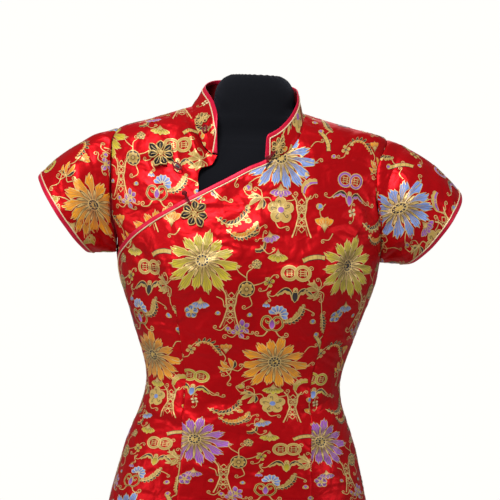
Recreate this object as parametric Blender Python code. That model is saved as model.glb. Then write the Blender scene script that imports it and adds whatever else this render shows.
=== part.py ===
"""Cheongsam dress, worn and hollow, on its limbless dress form.

The dress front faces -Y, +X is its right as it is looked at, +Z is up. The origin is on the floor,
under the middle of the stand's base. Lengths are in metres and angles in radians.
"""
import bpy
import numpy as np

for old in list(bpy.data.objects):
    bpy.data.objects.remove(old, do_unlink=True)

# Driving dimensions -------------------------------------------------------------------------

GAP = 0.0003                # between two pieces at a seam
WALL = 0.0012               # a dress panel: satin brocade with its seam allowances
COLLAR_WALL = 0.0016        # the stand collar is two layers of brocade
BINDING_WALL = 0.0022       # the satin binding is folded round the edge
BINDING = 0.0065            # width of the binding on the face
CORD = 0.0016               # diameter of the cream piping
EASE = 0.0065               # between the dress and the dress form

HEM = 0.420                 # the dress is knee length
SLIT_TOP = 0.640            # each side slit is 220 mm long
SLIT_SPREAD = 0.004         # how far each slit edge hangs from the side line at the hem
YOKE = 1.165                # under this height the rows of a panel are level
UNDERARM = 1.208
SHOULDER_TIP = 1.3725
TUCK = 0.0030               # the under-panel lies this much deeper where the front covers it

SQUARE = 2.2                # exponent of the body sections: 2 is an ellipse
BUST_HEIGHT = 1.190
BUST_APART = 0.090          # from the centre line to the point of each bust dart
BUST_RISE = 0.011
BUST_SPREAD = 0.048

FLOWER = 0.0165             # radius of the flower of a frog fastening
KNOT = 0.0075               # diameter of its ball knot

# Sections of the worn dress. The left and the right differ over the shoulders, because the open
# neck lets the left side, at -X, slide outwards.
SECTIONS = np.array((
    # height  left    right   front   back
    (0.4200, 0.1720, 0.1720, 0.1160, 0.1220),
    (0.6000, 0.1770, 0.1770, 0.1160, 0.1280),
    (0.7400, 0.1800, 0.1800, 0.1140, 0.1340),
    (0.8400, 0.1775, 0.1775, 0.1120, 0.1330),
    (0.9460, 0.1565, 0.1565, 0.1060, 0.1160),
    (1.0400, 0.1295, 0.1295, 0.0960, 0.0910),
    (1.1150, 0.1500, 0.1500, 0.1080, 0.0980),
    (1.1850, 0.1730, 0.1730, 0.1200, 0.1060),
    (1.2130, 0.1780, 0.1770, 0.1170, 0.1070),
    (1.2700, 0.2000, 0.1870, 0.1010, 0.1040),
    (1.3200, 0.2070, 0.1900, 0.0830, 0.0960),
    (1.3520, 0.2000, 0.1890, 0.0700, 0.0840),
    (1.3725, 0.1800, 0.1800, 0.0580, 0.0720),
    (1.3880, 0.1351, 0.1205, 0.0460, 0.0630),
    (1.4030, 0.0917, 0.0630, 0.0320, 0.0540),
    (1.4200, 0.0425, 0.0100, 0.0200, 0.0460),
))

# The dress form over the shoulders and up its neck. Lower down it follows the dress by EASE.
FORM_NECK = np.array((
    # height  half    front   back
    (1.3700, 0.1690, 0.0500, 0.0620),
    (1.3800, 0.1300, 0.0480, 0.0580),
    (1.3900, 0.0860, 0.0480, 0.0530),
    (1.3980, 0.0600, 0.0475, 0.0490),
    (1.4080, 0.0545, 0.0475, 0.0480),
    (1.4300, 0.0525, 0.0464, 0.0470),
    (1.4390, 0.0485, 0.0432, 0.0440),
    (1.4460, 0.0425, 0.0380, 0.0392),
    (1.4500, 0.0340, 0.0300, 0.0312),
))
FORM_FOOT = 0.700
FORM_FOOT_ROUND = 0.020

# Lower edge of the front closure, from the neck down to the left side and along it.
CLOSURE = np.array((
    # share  turn    height
    (0.00, 92.6, 1.3380),
    (0.18, 79.5, 1.3090),
    (0.36, 67.5, 1.2860),
    (0.60, 45.8, 1.2520),
    (0.78, 23.5, 1.2240),
    (0.87, 9.0, 1.2070),
    (0.93, 3.0, 1.1900),
    (1.00, 1.0, 1.1670),
))

# Top edge of the stand collar, from its left front corner round the back to its right one.
COLLAR_TOP = np.array((
    # share   x        y        z
    (0.000, -0.0535, -0.0680, 1.3760),
    (0.100, -0.0530, -0.0600, 1.3920),
    (0.190, -0.0570, -0.0400, 1.4110),
    (0.270, -0.0670, -0.0040, 1.4320),
    (0.370, -0.0500, 0.0410, 1.4450),
    (0.480, -0.0080, 0.0570, 1.4480),
    (0.600, 0.0390, 0.0420, 1.4440),
    (0.712, 0.0565, -0.0020, 1.4340),
    (0.800, 0.0545, -0.0330, 1.4190),
    (0.875, 0.0440, -0.0560, 1.3980),
    (0.945, 0.0280, -0.0690, 1.3800),
    (1.000, 0.0110, -0.0750, 1.3690),
))

NECK_POINT_LEFT = (0.0830, 1.4060)      # reach and height where the left shoulder seam meets the neck
NECK_POINT_RIGHT = (0.0630, 1.4030)
NECK_END_LEFT = (-0.0520, 1.3410)       # x and height of the collar's left end, pulled open
NECK_END_RIGHT = (0.0100, 1.3380)
NECK_BACK_DIP = 0.0060

# Armholes: how far the seam lies forward and back of the side line, for the left and the right.
ARMHOLE_FRONT = {-1: 0.040, 1: 0.052}
ARMHOLE_BACK = 0.055
SLEEVE_TIP = (0.2830, 1.3050)           # reach and height of the sleeve hem's highest point
SLEEVE_UNDER = (0.2130, 1.2065)
SLEEVE_HALF_DEPTH = 0.058
SLEEVE_HANG = 0.009                     # the hem bows this far down between tip and underarm
SLEEVE_CROWN = 0.010                    # and the sleeve bows out by this between seam and hem

RED = (0.62, 0.012, 0.018)
SCARLET = (0.72, 0.012, 0.045)
CREAM = (0.86, 0.72, 0.50)
GOLD = (0.62, 0.43, 0.16)
DARK_RED = (0.30, 0.008, 0.012)
BLACK = (0.012, 0.013, 0.016)
STEEL = (0.05, 0.05, 0.055)


# Curves and the body's shape ----------------------------------------------------------------

def smooth(at, table, column):
    """Value of a table's column at some places of its first column, on a smooth curve that never
    overshoots: a cubic between each two rows, with the harmonic mean of the slopes at each row."""
    x, y = table[:, 0], table[:, column]
    step = np.diff(x)
    slope = np.diff(y) / step
    inner = np.where(slope[:-1] * slope[1:] > 0,
                     2 * slope[:-1] * slope[1:] / np.where(slope[:-1] + slope[1:] == 0, 1,
                                                           slope[:-1] + slope[1:]), 0)
    grade = np.concatenate((slope[:1], inner, slope[-1:]))
    at = np.clip(at, x[0], x[-1])
    k = np.clip(np.searchsorted(x, at) - 1, 0, len(step) - 1)
    t = (at - x[k]) / step[k]
    return (y[k] * (1 + 2 * t) * (1 - t) ** 2 + y[k + 1] * t ** 2 * (3 - 2 * t)
            + step[k] * (grade[k] * t * (1 - t) ** 2 - grade[k + 1] * t ** 2 * (1 - t)))


def cups(x, z):
    """How far the bust shaping stands forward: one round rise each side of the centre."""
    rise = [np.exp(-((x - side * BUST_APART) ** 2 + (z - BUST_HEIGHT) ** 2) / BUST_SPREAD ** 2)
            for side in (-1, 1)]
    return BUST_RISE * (rise[0] + rise[1])


def reach_of(x, z):
    return np.where(x < 0, smooth(z, SECTIONS, 1), smooth(z, SECTIONS, 2))


def depth_of(x, z, facing):
    return smooth(z, SECTIONS, 3) + cups(x, z) if facing < 0 else smooth(z, SECTIONS, 4)


def on_body(x, z, facing):
    """Points of the dress at x and height z, on its front (facing -1) or its back (+1)."""
    x, z = np.broadcast_arrays(np.asarray(x, float), np.asarray(z, float))
    share = np.clip(np.abs(x) / reach_of(x, z), 0, 1)
    y = facing * depth_of(x, z, facing) * (1 - share ** SQUARE) ** (1 / SQUARE)
    return np.stack((x, y, z), -1)


def around(turn, z):
    """Points of the dress at a turn from its left side, through the front, and a height."""
    turn, z = np.broadcast_arrays(np.asarray(turn, float), np.asarray(z, float))
    c, s = np.cos(turn), np.sin(turn)
    x = -np.sign(c) * np.abs(c) ** (2 / SQUARE) * reach_of(-c, z)
    depth = np.where(s >= 0, depth_of(x, z, -1), depth_of(x, z, 1))
    return np.stack((x, -np.sign(s) * np.abs(s) ** (2 / SQUARE) * depth, z), -1)


def field(p):
    """Zero on the dress, more outside it and less inside it."""
    x, y, z = p[..., 0], p[..., 1], p[..., 2]
    depth = np.where(y < 0, depth_of(x, z, -1), depth_of(x, z, 1))
    return (np.abs(x) / reach_of(x, z)) ** SQUARE + (np.abs(y) / depth) ** SQUARE - 1


def slope_of(p):
    """Gradient of the field, from steps of a tenth of a millimetre."""
    step = 0.0001
    return np.stack([(field(p + step * axis) - field(p - step * axis)) / (2 * step)
                     for axis in np.eye(3)], -1)


def outwards(p):
    """Unit normal of the dress at points on it."""
    g = slope_of(p)
    return g / np.linalg.norm(g, axis=-1, keepdims=True)


def snap(p):
    """Moves points the short way onto the dress."""
    for _ in range(4):
        g = slope_of(p)
        p = p - g * (field(p) / np.sum(g * g, -1))[..., None]
    return p


def spaced(points, count):
    """The same polyline with count + 1 points, evenly spaced along it."""
    length = np.concatenate(((0,), np.cumsum(np.linalg.norm(np.diff(points, axis=0), axis=1))))
    at = np.linspace(0, length[-1], count + 1)
    return np.stack([np.interp(at, length, points[:, k]) for k in range(3)], -1)


def along(path):
    """Unit direction at each point of a path."""
    t = np.gradient(path, axis=0)
    return t / np.linalg.norm(t, axis=-1, keepdims=True)


def beside(path, distance):
    """A path on the dress moved sideways over it, to the left of its own direction."""
    return snap(path + distance * np.cross(outwards(path), along(path)))


# Meshes -------------------------------------------------------------------------------------

def material(name, colour, roughness, metallic=0.0):
    made = bpy.data.materials.new(name)
    made.use_nodes = True
    shader = made.node_tree.nodes["Principled BSDF"]
    shader.inputs["Base Color"].default_value = (*colour, 1.0)
    shader.inputs["Roughness"].default_value = roughness
    shader.inputs["Metallic"].default_value = metallic
    return made


def add(name, points, faces, made):
    """One closed body, with its faces turned outwards."""
    corners = [[points[f[0]], points[f[k]], points[f[k + 1]]] for f in faces for k in range(1, len(f) - 1)]
    if np.linalg.det(np.array(corners)).sum() < 0:
        faces = [f[::-1] for f in faces]
    mesh = bpy.data.meshes.new(name)
    mesh.from_pydata([tuple(p) for p in points], [], faces)
    mesh.materials.append(made)
    mesh.shade_smooth()
    mesh.set_sharp_from_angle(angle=np.radians(40))
    thing = bpy.data.objects.new(name, mesh)
    bpy.context.scene.collection.objects.link(thing)
    return thing


def wall(name, outer, inner, made, ring=False):
    """A wall between two grids of the same rows and columns; a ring closes on itself."""
    rows, columns = outer.shape[:2]
    number = np.arange(rows * columns).reshape(rows, columns)
    last = columns if ring else columns - 1
    faces = []
    for side in (0, rows * columns):
        for r in range(rows - 1):
            for c in range(last):
                d = (c + 1) % columns
                quad = [number[r, c], number[r, d], number[r + 1, d], number[r + 1, c]]
                faces.append([int(q) + side for q in (quad if side == 0 else quad[::-1])])
    if ring:
        edges = [list(number[0]) + [number[0, 0]], (list(number[-1]) + [number[-1, 0]])[::-1]]
    else:
        edges = [list(number[0]) + list(number[1:, -1]) + list(number[-1, ::-1][1:])
                 + list(number[:-1, 0][::-1])]
    for edge in edges:
        faces += [[int(b), int(a), int(a) + rows * columns, int(b) + rows * columns]
                  for a, b in zip(edge, edge[1:])]
    return add(name, np.concatenate((outer.reshape(-1, 3), inner.reshape(-1, 3))), faces, made)


def strip(name, first, second, thick, lift, normal, made, ring=False):
    """A flat strip between two paths, of a given thickness, its middle lifted off them."""
    grid = np.stack((first, second))
    return wall(name, grid + normal * (lift + thick / 2), grid + normal * (lift - thick / 2), made, ring)


def tube(name, path, radius, made, ring=False):
    """A cord of six sides along a path; the radius is one number or one for each point."""
    direction = along(np.concatenate((path[-1:], path, path[:1])))[1:-1] if ring else along(path)
    side = np.cross(direction, (0.13, 0.31, 0.94))
    side /= np.linalg.norm(side, axis=-1, keepdims=True)
    up = np.cross(direction, side)
    sides = 6
    turn = np.arange(sides) * 2 * np.pi / sides
    radius = np.broadcast_to(radius, len(path))[:, None, None]
    points = (path[:, None] + radius * (np.cos(turn)[:, None] * side[:, None]
                                        + np.sin(turn)[:, None] * up[:, None])).reshape(-1, 3)
    count = len(path)
    faces = [[r * sides + k, r * sides + (k + 1) % sides, (r + 1) % count * sides + (k + 1) % sides,
              (r + 1) % count * sides + k] for r in range(count if ring else count - 1) for k in range(sides)]
    if not ring:
        faces += [list(range(sides))[::-1], [(count - 1) * sides + k for k in range(sides)]]
    return add(name, points, faces, made)


def turned(name, rows, sides, made):
    """A closed solid turned round the Z axis, or lofted through ovals, from rows of height, x reach
    to either side, front depth and back depth, with flat ends."""
    turn = np.arange(sides) * 2 * np.pi / sides
    c, s = np.cos(turn), np.sin(turn)
    points = []
    for z, half, front, back, power in rows:
        x = half * np.sign(c) * np.abs(c) ** (2 / power)
        y = np.sign(s) * np.abs(s) ** (2 / power) * np.where(s > 0, back, front)
        points += [(a, b, z) for a, b in zip(x, y)]
    faces = [[r * sides + k, r * sides + (k + 1) % sides, (r + 1) * sides + (k + 1) % sides, (r + 1) * sides + k]
             for r in range(len(rows) - 1) for k in range(sides)]
    faces += [list(range(sides))[::-1], [(len(rows) - 1) * sides + k for k in range(sides)]]
    return add(name, np.array(points), faces, made)


# Seam lines ---------------------------------------------------------------------------------

def side_turn(z, facing, side):
    """Turn at which a panel ends along a side seam, or along its slit edge."""
    slack = np.clip((SLIT_TOP - z) / (SLIT_TOP - HEM), 0, 1) ** 1.5 * SLIT_SPREAD
    depth = smooth(z, SECTIONS, 3 if facing < 0 else 4)
    off = np.arcsin(((GAP / 2 + slack) / depth) ** (SQUARE / 2))
    start = {(-1, -1): off, (-1, 1): np.pi - off, (1, 1): np.pi + off, (1, -1): 2 * np.pi - off}
    return start[(facing, side)]


def armhole(turn, side):
    """Ring of an armhole: turn 0 is the shoulder tip, a quarter is the front, a half the underarm."""
    z = (SHOULDER_TIP + UNDERARM) / 2 + (SHOULDER_TIP - UNDERARM) / 2 * np.cos(turn)
    s = np.sin(turn)
    y = -s * np.where(s > 0, ARMHOLE_FRONT[side], ARMHOLE_BACK)
    depth = np.where(s > 0, smooth(z, SECTIONS, 3), smooth(z, SECTIONS, 4))
    x = side * reach_of(side, z) * (1 - (np.abs(y) / depth) ** SQUARE) ** (1 / SQUARE)
    return np.stack((x, y, z), -1)


def armhole_edge(facing, side, start=YOKE):
    """Side seam from a height to the underarm, then the armhole up to the shoulder tip, with a point
    at every turn that the sleeve has one."""
    seam = around(side_turn(np.linspace(start, UNDERARM, SEAM_ROWS + 1), facing, side),
                  np.linspace(start, UNDERARM, SEAM_ROWS + 1))
    ring = armhole(-facing * np.linspace(np.pi, 0, HOLE_ROWS + 1)[1:], side)
    ring[-1, 1] = facing * GAP / 2
    return np.concatenate((seam, ring))


def shoulder(facing, side):
    """Shoulder seam from the tip to the neck point."""
    reach, top = NECK_POINT_LEFT if side < 0 else NECK_POINT_RIGHT
    z = np.linspace(SHOULDER_TIP, top - GAP, 30)
    return np.stack((side * reach_of(side, z), np.full(30, facing * GAP / 2), z), -1)


def neck_front(side):
    """Front neckline from the neck point down to the collar's end: a quarter of an ellipse."""
    (reach, top), (end_x, end_z) = ((NECK_POINT_LEFT, NECK_END_LEFT) if side < 0
                                    else (NECK_POINT_RIGHT, NECK_END_RIGHT))
    turn = np.linspace(0, 1, 60) ** 1.6 * np.pi / 2
    x = end_x + (side * reach - end_x) * np.cos(turn)
    return on_body(x, top - (top - end_z) * np.sin(turn), -1)


def neck_back():
    """Back neckline from the left neck point to the right one, dipping in the middle."""
    turn = np.linspace(0, np.pi, 80)
    share = (1 - np.cos(turn)) / 2
    x = -NECK_POINT_LEFT[0] + share * (NECK_POINT_LEFT[0] + NECK_POINT_RIGHT[0])
    z = NECK_POINT_LEFT[1] + share * (NECK_POINT_RIGHT[1] - NECK_POINT_LEFT[1]) - NECK_BACK_DIP * np.sin(turn)
    return on_body(x, z, 1)


def neckline(path, shares, facing):
    """A panel's own neckline: the path moved clear of the collar, and of the other panel where it
    comes to a shoulder seam."""
    edge = spread(beside(path, -3 * GAP), shares)
    edge[np.abs(edge[:, 1]) < 0.001, 1] = facing * GAP / 2
    return edge


def neck_shares(count, end=0.0):
    """Even shares of a neckline, with one more near the collar's end if it has one."""
    even = np.linspace(0, 1, count + 1)
    return np.sort(np.append(even, end)) if end else even


def closure():
    """Edge of the front closure on the dress, from the neck to the left side."""
    share = np.linspace(0, 1, 120)
    return around(np.radians(smooth(share, CLOSURE, 1)), smooth(share, CLOSURE, 2))


def patch(bottom, top, left, right, facing, bias):
    """Grid between four edges, blended in x and height and then laid on the dress. The rows close up
    towards the top by the power bias, because the cloth turns back over the shoulder there."""
    across = np.linspace(0, 1, len(bottom))[None, :, None]
    up = (1 - (1 - np.linspace(0, 1, len(left))) ** bias)[:, None, None]
    grid = ((1 - up) * bottom[None] + up * top[None] + (1 - across) * left[:, None] + across * right[:, None]
            - (1 - up) * ((1 - across) * bottom[0] + across * bottom[-1])
            - up * ((1 - across) * top[0] + across * top[-1]))
    laid = on_body(grid[..., 0], grid[..., 2], facing)
    laid[0], laid[-1], laid[:, 0], laid[:, -1] = bottom, top, left, right
    return laid


def spread(points, shares):
    """Points of a polyline at given shares of its length."""
    length = np.concatenate(((0,), np.cumsum(np.linalg.norm(np.diff(points, axis=0), axis=1))))
    return np.stack([np.interp(shares * length[-1], length, points[:, k]) for k in range(3)], -1)


def clothe(name, grid, made, thick=WALL, lift=0.0, ring=False):
    """A cloth wall about a grid that lies on the dress."""
    normal = outwards(grid)
    lift = np.broadcast_to(lift, grid.shape[:2])[..., None]
    return wall(name, grid + normal * (lift + thick / 2), grid + normal * (lift - thick / 2), made, ring)


# Dress panels -------------------------------------------------------------------------------

brocade = material("red_brocade", RED, 0.35)
SKIRT_ROWS = np.array((HEM, 0.495, 0.57, 0.645, 0.71, 0.77, 0.82, 0.865, 0.91, 0.95, 0.985, 1.015, 1.04,
                       1.065, 1.09, 1.115, 1.14, YOKE))
SEAM_ROWS = 2                           # rows of a panel between the yoke line and the underarm
HOLE_ROWS = 8                           # and up each half of the armhole
YOKE_ROWS = SEAM_ROWS + HOLE_ROWS
NECK_LEFT = neck_shares(5, 0.90)        # places of the columns along the left front neckline,
NECK_BACK = neck_shares(10)             # the back one
NECK_RIGHT = neck_shares(6, 0.89)       # and the right front one, each from its neck point


def skirt(columns, facing):
    """Level rows of a panel from the hem to the yoke line, evenly turned from side to side."""
    z = SKIRT_ROWS[:, None]
    start, end = (side_turn(z, facing, side) for side in ((-1, 1) if facing < 0 else (1, -1)))
    return around(start + (end - start) * np.linspace(0, 1, columns + 1)[None], z)


EDGE = closure()
EDGE_INNER = beside(EDGE, BINDING)
EDGE_PANEL = beside(EDGE, BINDING + GAP)
CORNER = 98                             # where the closure stops being the top and becomes the side
top_stations = np.linspace(0, CORNER, 15).astype(int)
side_stations = np.linspace(CORNER, len(EDGE) - 1, YOKE_ROWS + 1).astype(int)

front_top = np.concatenate((EDGE_PANEL[top_stations][::-1],
                            neckline(neck_front(1)[::-1], 1 - NECK_RIGHT[::-1], -1)[1:],
                            spaced(shoulder(-1, 1)[::-1], 4)[1:]))
COLUMNS = len(front_top) - 1
front_low = skirt(COLUMNS, -1)
side_up = EDGE_PANEL[side_stations][::-1]
front_low[-1] = spaced(np.concatenate((side_up[:1], front_low[-1][1:])), COLUMNS)
front_yoke = patch(front_low[-1], front_top, side_up, armhole_edge(-1, 1), -1, 1.5)
clothe("front_over_panel", np.concatenate((front_low, front_yoke[1:])), brocade)

back_neck = neckline(neck_back()[::-1], NECK_BACK, 1)
back_top = np.concatenate((spaced(shoulder(1, 1), 4)[:-1], back_neck, spaced(shoulder(1, -1)[::-1], 4)[1:]))
back_low = skirt(len(back_top) - 1, 1)
back_yoke = patch(back_low[-1], back_top, armhole_edge(1, 1), armhole_edge(1, -1), 1, 1.5)
clothe("back_panel", np.concatenate((back_low, back_yoke[1:])), brocade)

# The under-panel is the small chest piece below the open neck. Its free edge hangs pulled back, and
# it ends plainly a little way inside the closure.
UNDER_HIDDEN = 0.034                    # how far it goes on below the edge of the closure
FREE_EDGE = np.array(((-0.0520, 1.3410), (-0.0590, 1.3290), (-0.0730, 1.3220), (-0.0770, 1.3100),
                      (-0.0760, 1.2960), (-0.0800, 1.2700)))

under_low = beside(EDGE, UNDER_HIDDEN)
under_low = under_low[(under_low[:, 0] < FREE_EDGE[-1, 0]) & (under_low[:, 2] > YOKE)]
free = on_body(FREE_EDGE[:, 0], FREE_EDGE[:, 1], -1)
free[-1] = under_low[0]
under_top = np.concatenate((spaced(shoulder(-1, -1), 4)[:-1], neckline(neck_front(-1), NECK_LEFT, -1)))
side_left = armhole_edge(-1, -1, under_low[-1, 2])
under_bottom = spaced(np.concatenate((side_left[:1], under_low[:-1][::-1])), len(under_top) - 1)
free[0] = under_top[-1]
under = patch(under_bottom, under_top, side_left, spaced(free[::-1], YOKE_ROWS), -1, 1.3)
below = smooth(np.linspace(0, 1, YOKE_ROWS + 1), np.array(((0, 1.0), (0.45, 1.0), (1, 0.0))), 1)[:, None]
sink = -TUCK * np.maximum(below, np.clip((1.215 - under[..., 2]) / 0.01, 0, 1))
clothe("front_under_panel", under, brocade, lift=sink)


# Sleeves ------------------------------------------------------------------------------------

def sleeve(turn, side):
    """Armhole and hem rings of a cap sleeve, and the way its cloth bows out between them."""
    start = armhole(turn, side)
    share = (1 - np.cos(turn)) / 2
    (tip_x, tip_z), (under_x, under_z) = SLEEVE_TIP, SLEEVE_UNDER
    bow = SLEEVE_HANG * np.abs(np.sin(turn))
    fall = np.hypot(tip_x - under_x, tip_z - under_z)
    x = tip_x + share * (under_x - tip_x) + bow * (tip_z - under_z) / fall
    z = tip_z + share * (under_z - tip_z) - bow * (tip_x - under_x) / fall
    end = np.stack((side * x, -SLEEVE_HALF_DEPTH * np.sin(turn), z), -1)
    out = np.stack((side * 0.55 * np.maximum(np.cos(turn), 0), -np.sin(turn), 0.8 * np.maximum(np.cos(turn), 0)), -1)
    return start, end, SLEEVE_CROWN * out


def down_sleeve(side, turn, first, last, rows):
    """Rings of a sleeve from a distance past the armhole to a distance short of the hem."""
    start, end, out = sleeve(turn, side)
    length = np.linalg.norm(end - start, axis=-1)
    t = np.linspace(0, 1, rows + 1)[:, None]
    t = (first * (1 - t) + (length - last) * t) / length
    return start + t[..., None] * (end - start) + (4 * t * (1 - t))[..., None] * out


def unit(v):
    return v / np.linalg.norm(v, axis=-1, keepdims=True)


def ring_normals(grid):
    """Unit normals of a grid of rings that run round a sleeve, pointing out of it."""
    ahead = np.roll(grid, -1, axis=1) - np.roll(grid, 1, axis=1)
    n = unit(np.cross(np.gradient(grid, axis=0), ahead))
    return n * np.sign(n[2, 0, 2])


SLEEVE_TURNS = np.arange(2 * HOLE_ROWS) * np.pi / HOLE_ROWS
satin = {side: material("binding_satin" + side, SCARLET, 0.30) for side in ("_left", "_right", "")}
cream = material("cream_piping", CREAM, 0.45)
for side, word in ((-1, "left"), (1, "right")):
    ring = armhole(SLEEVE_TURNS, side)
    body_out = outwards(ring)
    away = unit(np.cross(body_out, np.roll(ring, -1, axis=0) - np.roll(ring, 1, axis=0)))
    away *= np.sign(away[0, 0] * side)
    cap = down_sleeve(side, SLEEVE_TURNS, WALL, BINDING + GAP, 5)
    normal = ring_normals(cap)
    cap[0] = ring + away * (GAP + WALL / 2)
    normal[0] = unit(body_out + normal[1])
    wall("sleeve_" + word, cap + normal * WALL / 2, cap - normal * WALL / 2, brocade, True)
    hem = down_sleeve(side, SLEEVE_TURNS, BINDING, 0, 1)[1]
    inner = hem + unit(cap[-1] - hem) * BINDING
    strip("sleeve_binding_" + word, inner, hem, BINDING_WALL, 0, normal[-1], satin["_" + word], True)
    tube("sleeve_piping_" + word, inner + normal[-1] * (BINDING_WALL / 2 + GAP + CORD / 2), CORD / 2, cream, True)


# Stand collar -------------------------------------------------------------------------------

seam_runs = (neck_front(-1)[::-1], neck_back(), neck_front(1))
run_lengths = [np.linalg.norm(np.diff(run, axis=0), axis=1).sum() for run in seam_runs]
run_starts = np.concatenate(((0,), np.cumsum(run_lengths)))
seam = np.concatenate((seam_runs[0], seam_runs[1][1:-1], seam_runs[2]))
SEAM_LENGTH = run_starts[-1]


def collar_at(s, k):
    """Point of the collar s along its seam and k up from it, in metres of cloth."""
    foot = spread(seam, s / SEAM_LENGTH)
    top = np.stack([smooth(s / SEAM_LENGTH, COLLAR_TOP, column) for column in (1, 2, 3)], -1)
    rise = top - foot
    return foot + rise * (k / np.linalg.norm(rise, axis=-1))[..., None]


def collar_height(s):
    return np.linalg.norm(np.stack([smooth(s / SEAM_LENGTH, COLLAR_TOP, c) for c in (1, 2, 3)], -1)
                          - spread(seam, s / SEAM_LENGTH), axis=-1)


def collar_normal(s, k):
    """Unit normal pointing away from the neck."""
    step = 0.004
    a = collar_at(np.clip(s + step, 0, SEAM_LENGTH), k) - collar_at(np.clip(s - step, 0, SEAM_LENGTH), k)
    b = collar_at(s, k + step) - collar_at(s, k - step)
    n = np.cross(b, a)
    n /= np.linalg.norm(n, axis=-1, keepdims=True)
    return n


COLLAR_ROUND = 0.008                    # radius of the collar's two front corners


def collar_rim(inset, columns):
    """Path in s and k up the left front end, along the top and down the right end, inset from it."""
    radius = max(COLLAR_ROUND - inset, 0.0004)
    turn = np.linspace(0, np.pi / 2, 4)
    ends = np.array((inset + radius, SEAM_LENGTH - inset - radius))
    tops = collar_height(ends) - inset - radius
    low = np.linspace(COLLAR_FOOT, 1, 3)[:-1]
    mid = columns[(columns > ends[0] + 0.002) & (columns < ends[1] - 0.002)]
    s = np.concatenate((np.full(2, inset), ends[0] - radius * np.cos(turn), mid,
                        ends[1] + radius * np.sin(turn), np.full(2, SEAM_LENGTH - inset)))
    k = np.concatenate((low * tops[0], tops[0] + radius * np.sin(turn), collar_height(mid) - inset,
                        tops[1] + radius * np.cos(turn), (low * tops[1])[::-1]))
    return s, k


COLLAR_FOOT = 0.045                     # share of its height by which the collar clears the panels
COLLAR_CHOP = 0.0016                    # taken off its corners inside the binding's curve
edge_in = BINDING + 1.5 * GAP
s_across = np.unique(np.concatenate([start + shares * length for start, length, shares in
                                     zip(run_starts, run_lengths, (1 - NECK_LEFT[::-1], NECK_BACK, NECK_RIGHT))
                                     ]).round(9))
s_across[0], s_across[-1] = edge_in, SEAM_LENGTH - edge_in
grid_s = np.broadcast_to(s_across, (4, len(s_across)))
grid_top = collar_height(s_across) - edge_in
grid_top[[0, -1]] -= COLLAR_CHOP
grid_k = np.linspace(COLLAR_FOOT, 1, 4)[:, None] * grid_top
collar = collar_at(grid_s, grid_k)
normal = collar_normal(grid_s, grid_k)
wall("stand_collar", collar + normal * COLLAR_WALL / 2, collar - normal * COLLAR_WALL / 2, brocade)
rims = [collar_rim(inset, s_across) for inset in (0, BINDING)]
rim_normal = collar_normal(*rims[1])
strip("collar_binding", collar_at(*rims[1]), collar_at(*rims[0]), BINDING_WALL, 0, rim_normal, satin[""])
tube("collar_piping", collar_at(*rims[1]) + rim_normal * (BINDING_WALL / 2 + GAP + CORD / 2), CORD / 2, cream)

# Binding and piping of the front closure
some = np.concatenate((top_stations, side_stations[1:]))
edge_normal = outwards(EDGE[some])
strip("closure_binding", EDGE_INNER[some], EDGE[some], BINDING_WALL, 0, edge_normal, satin[""])
tube("closure_piping", EDGE_INNER[some] + outwards(EDGE_INNER[some]) * (BINDING_WALL / 2 + GAP + CORD / 2),
     CORD / 2, cream)


# Frog fastenings ----------------------------------------------------------------------------

FLOWER_THICK = 0.0020
OVER_PIPING = 0.0035                    # the knots lie over the piping that they cross
ON_PANEL = WALL / 2 + GAP + 0.0008
ON_COLLAR = COLLAR_WALL / 2 + GAP + 0.0004


def on_front(x0, z0, heading):
    """A flat sketch laid on the dress front, its first axis turned to the heading."""
    def place(a, b):
        x = x0 + a * np.cos(heading) - b * np.sin(heading)
        points = on_body(x, z0 + a * np.sin(heading) + b * np.cos(heading), -1)
        return points, outwards(points)
    return place


def on_collar(s0, k0, heading):
    """The same on the collar, s0 along its seam and k0 up it."""
    def place(a, b):
        s = s0 + a * np.cos(heading) - b * np.sin(heading)
        k = k0 + a * np.sin(heading) + b * np.cos(heading)
        return collar_at(s, k), collar_normal(s, k)
    return place


def frog(name, place, radius, lift, end):
    """Half a frog fastening: a flat flower of seven petals, whose first axis points at its ball knot
    or its loop."""
    turn = np.arange(42) * 2 * np.pi / 42
    edge = radius * (0.60 + 0.40 * np.abs(np.cos(3.5 * turn)) ** 0.8)
    a, b = np.concatenate(((0,), -edge * np.cos(turn))), np.concatenate(((0,), edge * np.sin(turn)))
    points, normal = place(a, b)
    count = len(turn)
    faces = []
    for side in (0, count + 1):
        ring = [[side, side + 1 + k, side + 1 + (k + 1) % count] for k in range(count)]
        faces += [f[::-1] for f in ring] if side else ring
    faces += [[1 + (k + 1) % count, 1 + k, count + 2 + k, count + 2 + (k + 1) % count] for k in range(count)]
    add("frog_flower_" + name, np.concatenate((points + normal * (lift + FLOWER_THICK), points + normal * lift)),
        faces, material("frog_" + name, GOLD, 0.4, 0.3))
    if end == "knot":
        lift = lift + OVER_PIPING
        a = radius + 0.0008 + np.array((0, 0.002, 0.004, 0.0048, 0.006, 0.0085, 0.011, 0.0123))
        size = np.array((0.0012, 0.0012, 0.0014, 0.0026, 0.0035, 0.00375, 0.0028, 0.0012))
        points, normal = place(a, np.zeros(8))
        tube("frog_knot_" + name, points + normal * (lift + KNOT / 2 - 0.0005), size,
             material("knot_" + name, DARK_RED, 0.4))
    else:
        turn = np.linspace(-0.86, 0.86, 13) * np.pi
        a = radius + 0.0015 + 0.0065 * (1 + np.cos(turn))
        points, normal = place(a, 0.0036 * np.sin(turn))
        tube("frog_loop_" + name, points + normal * (lift + 0.0012), 0.0011, material("loop_" + name, DARK_RED, 0.4))


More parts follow.
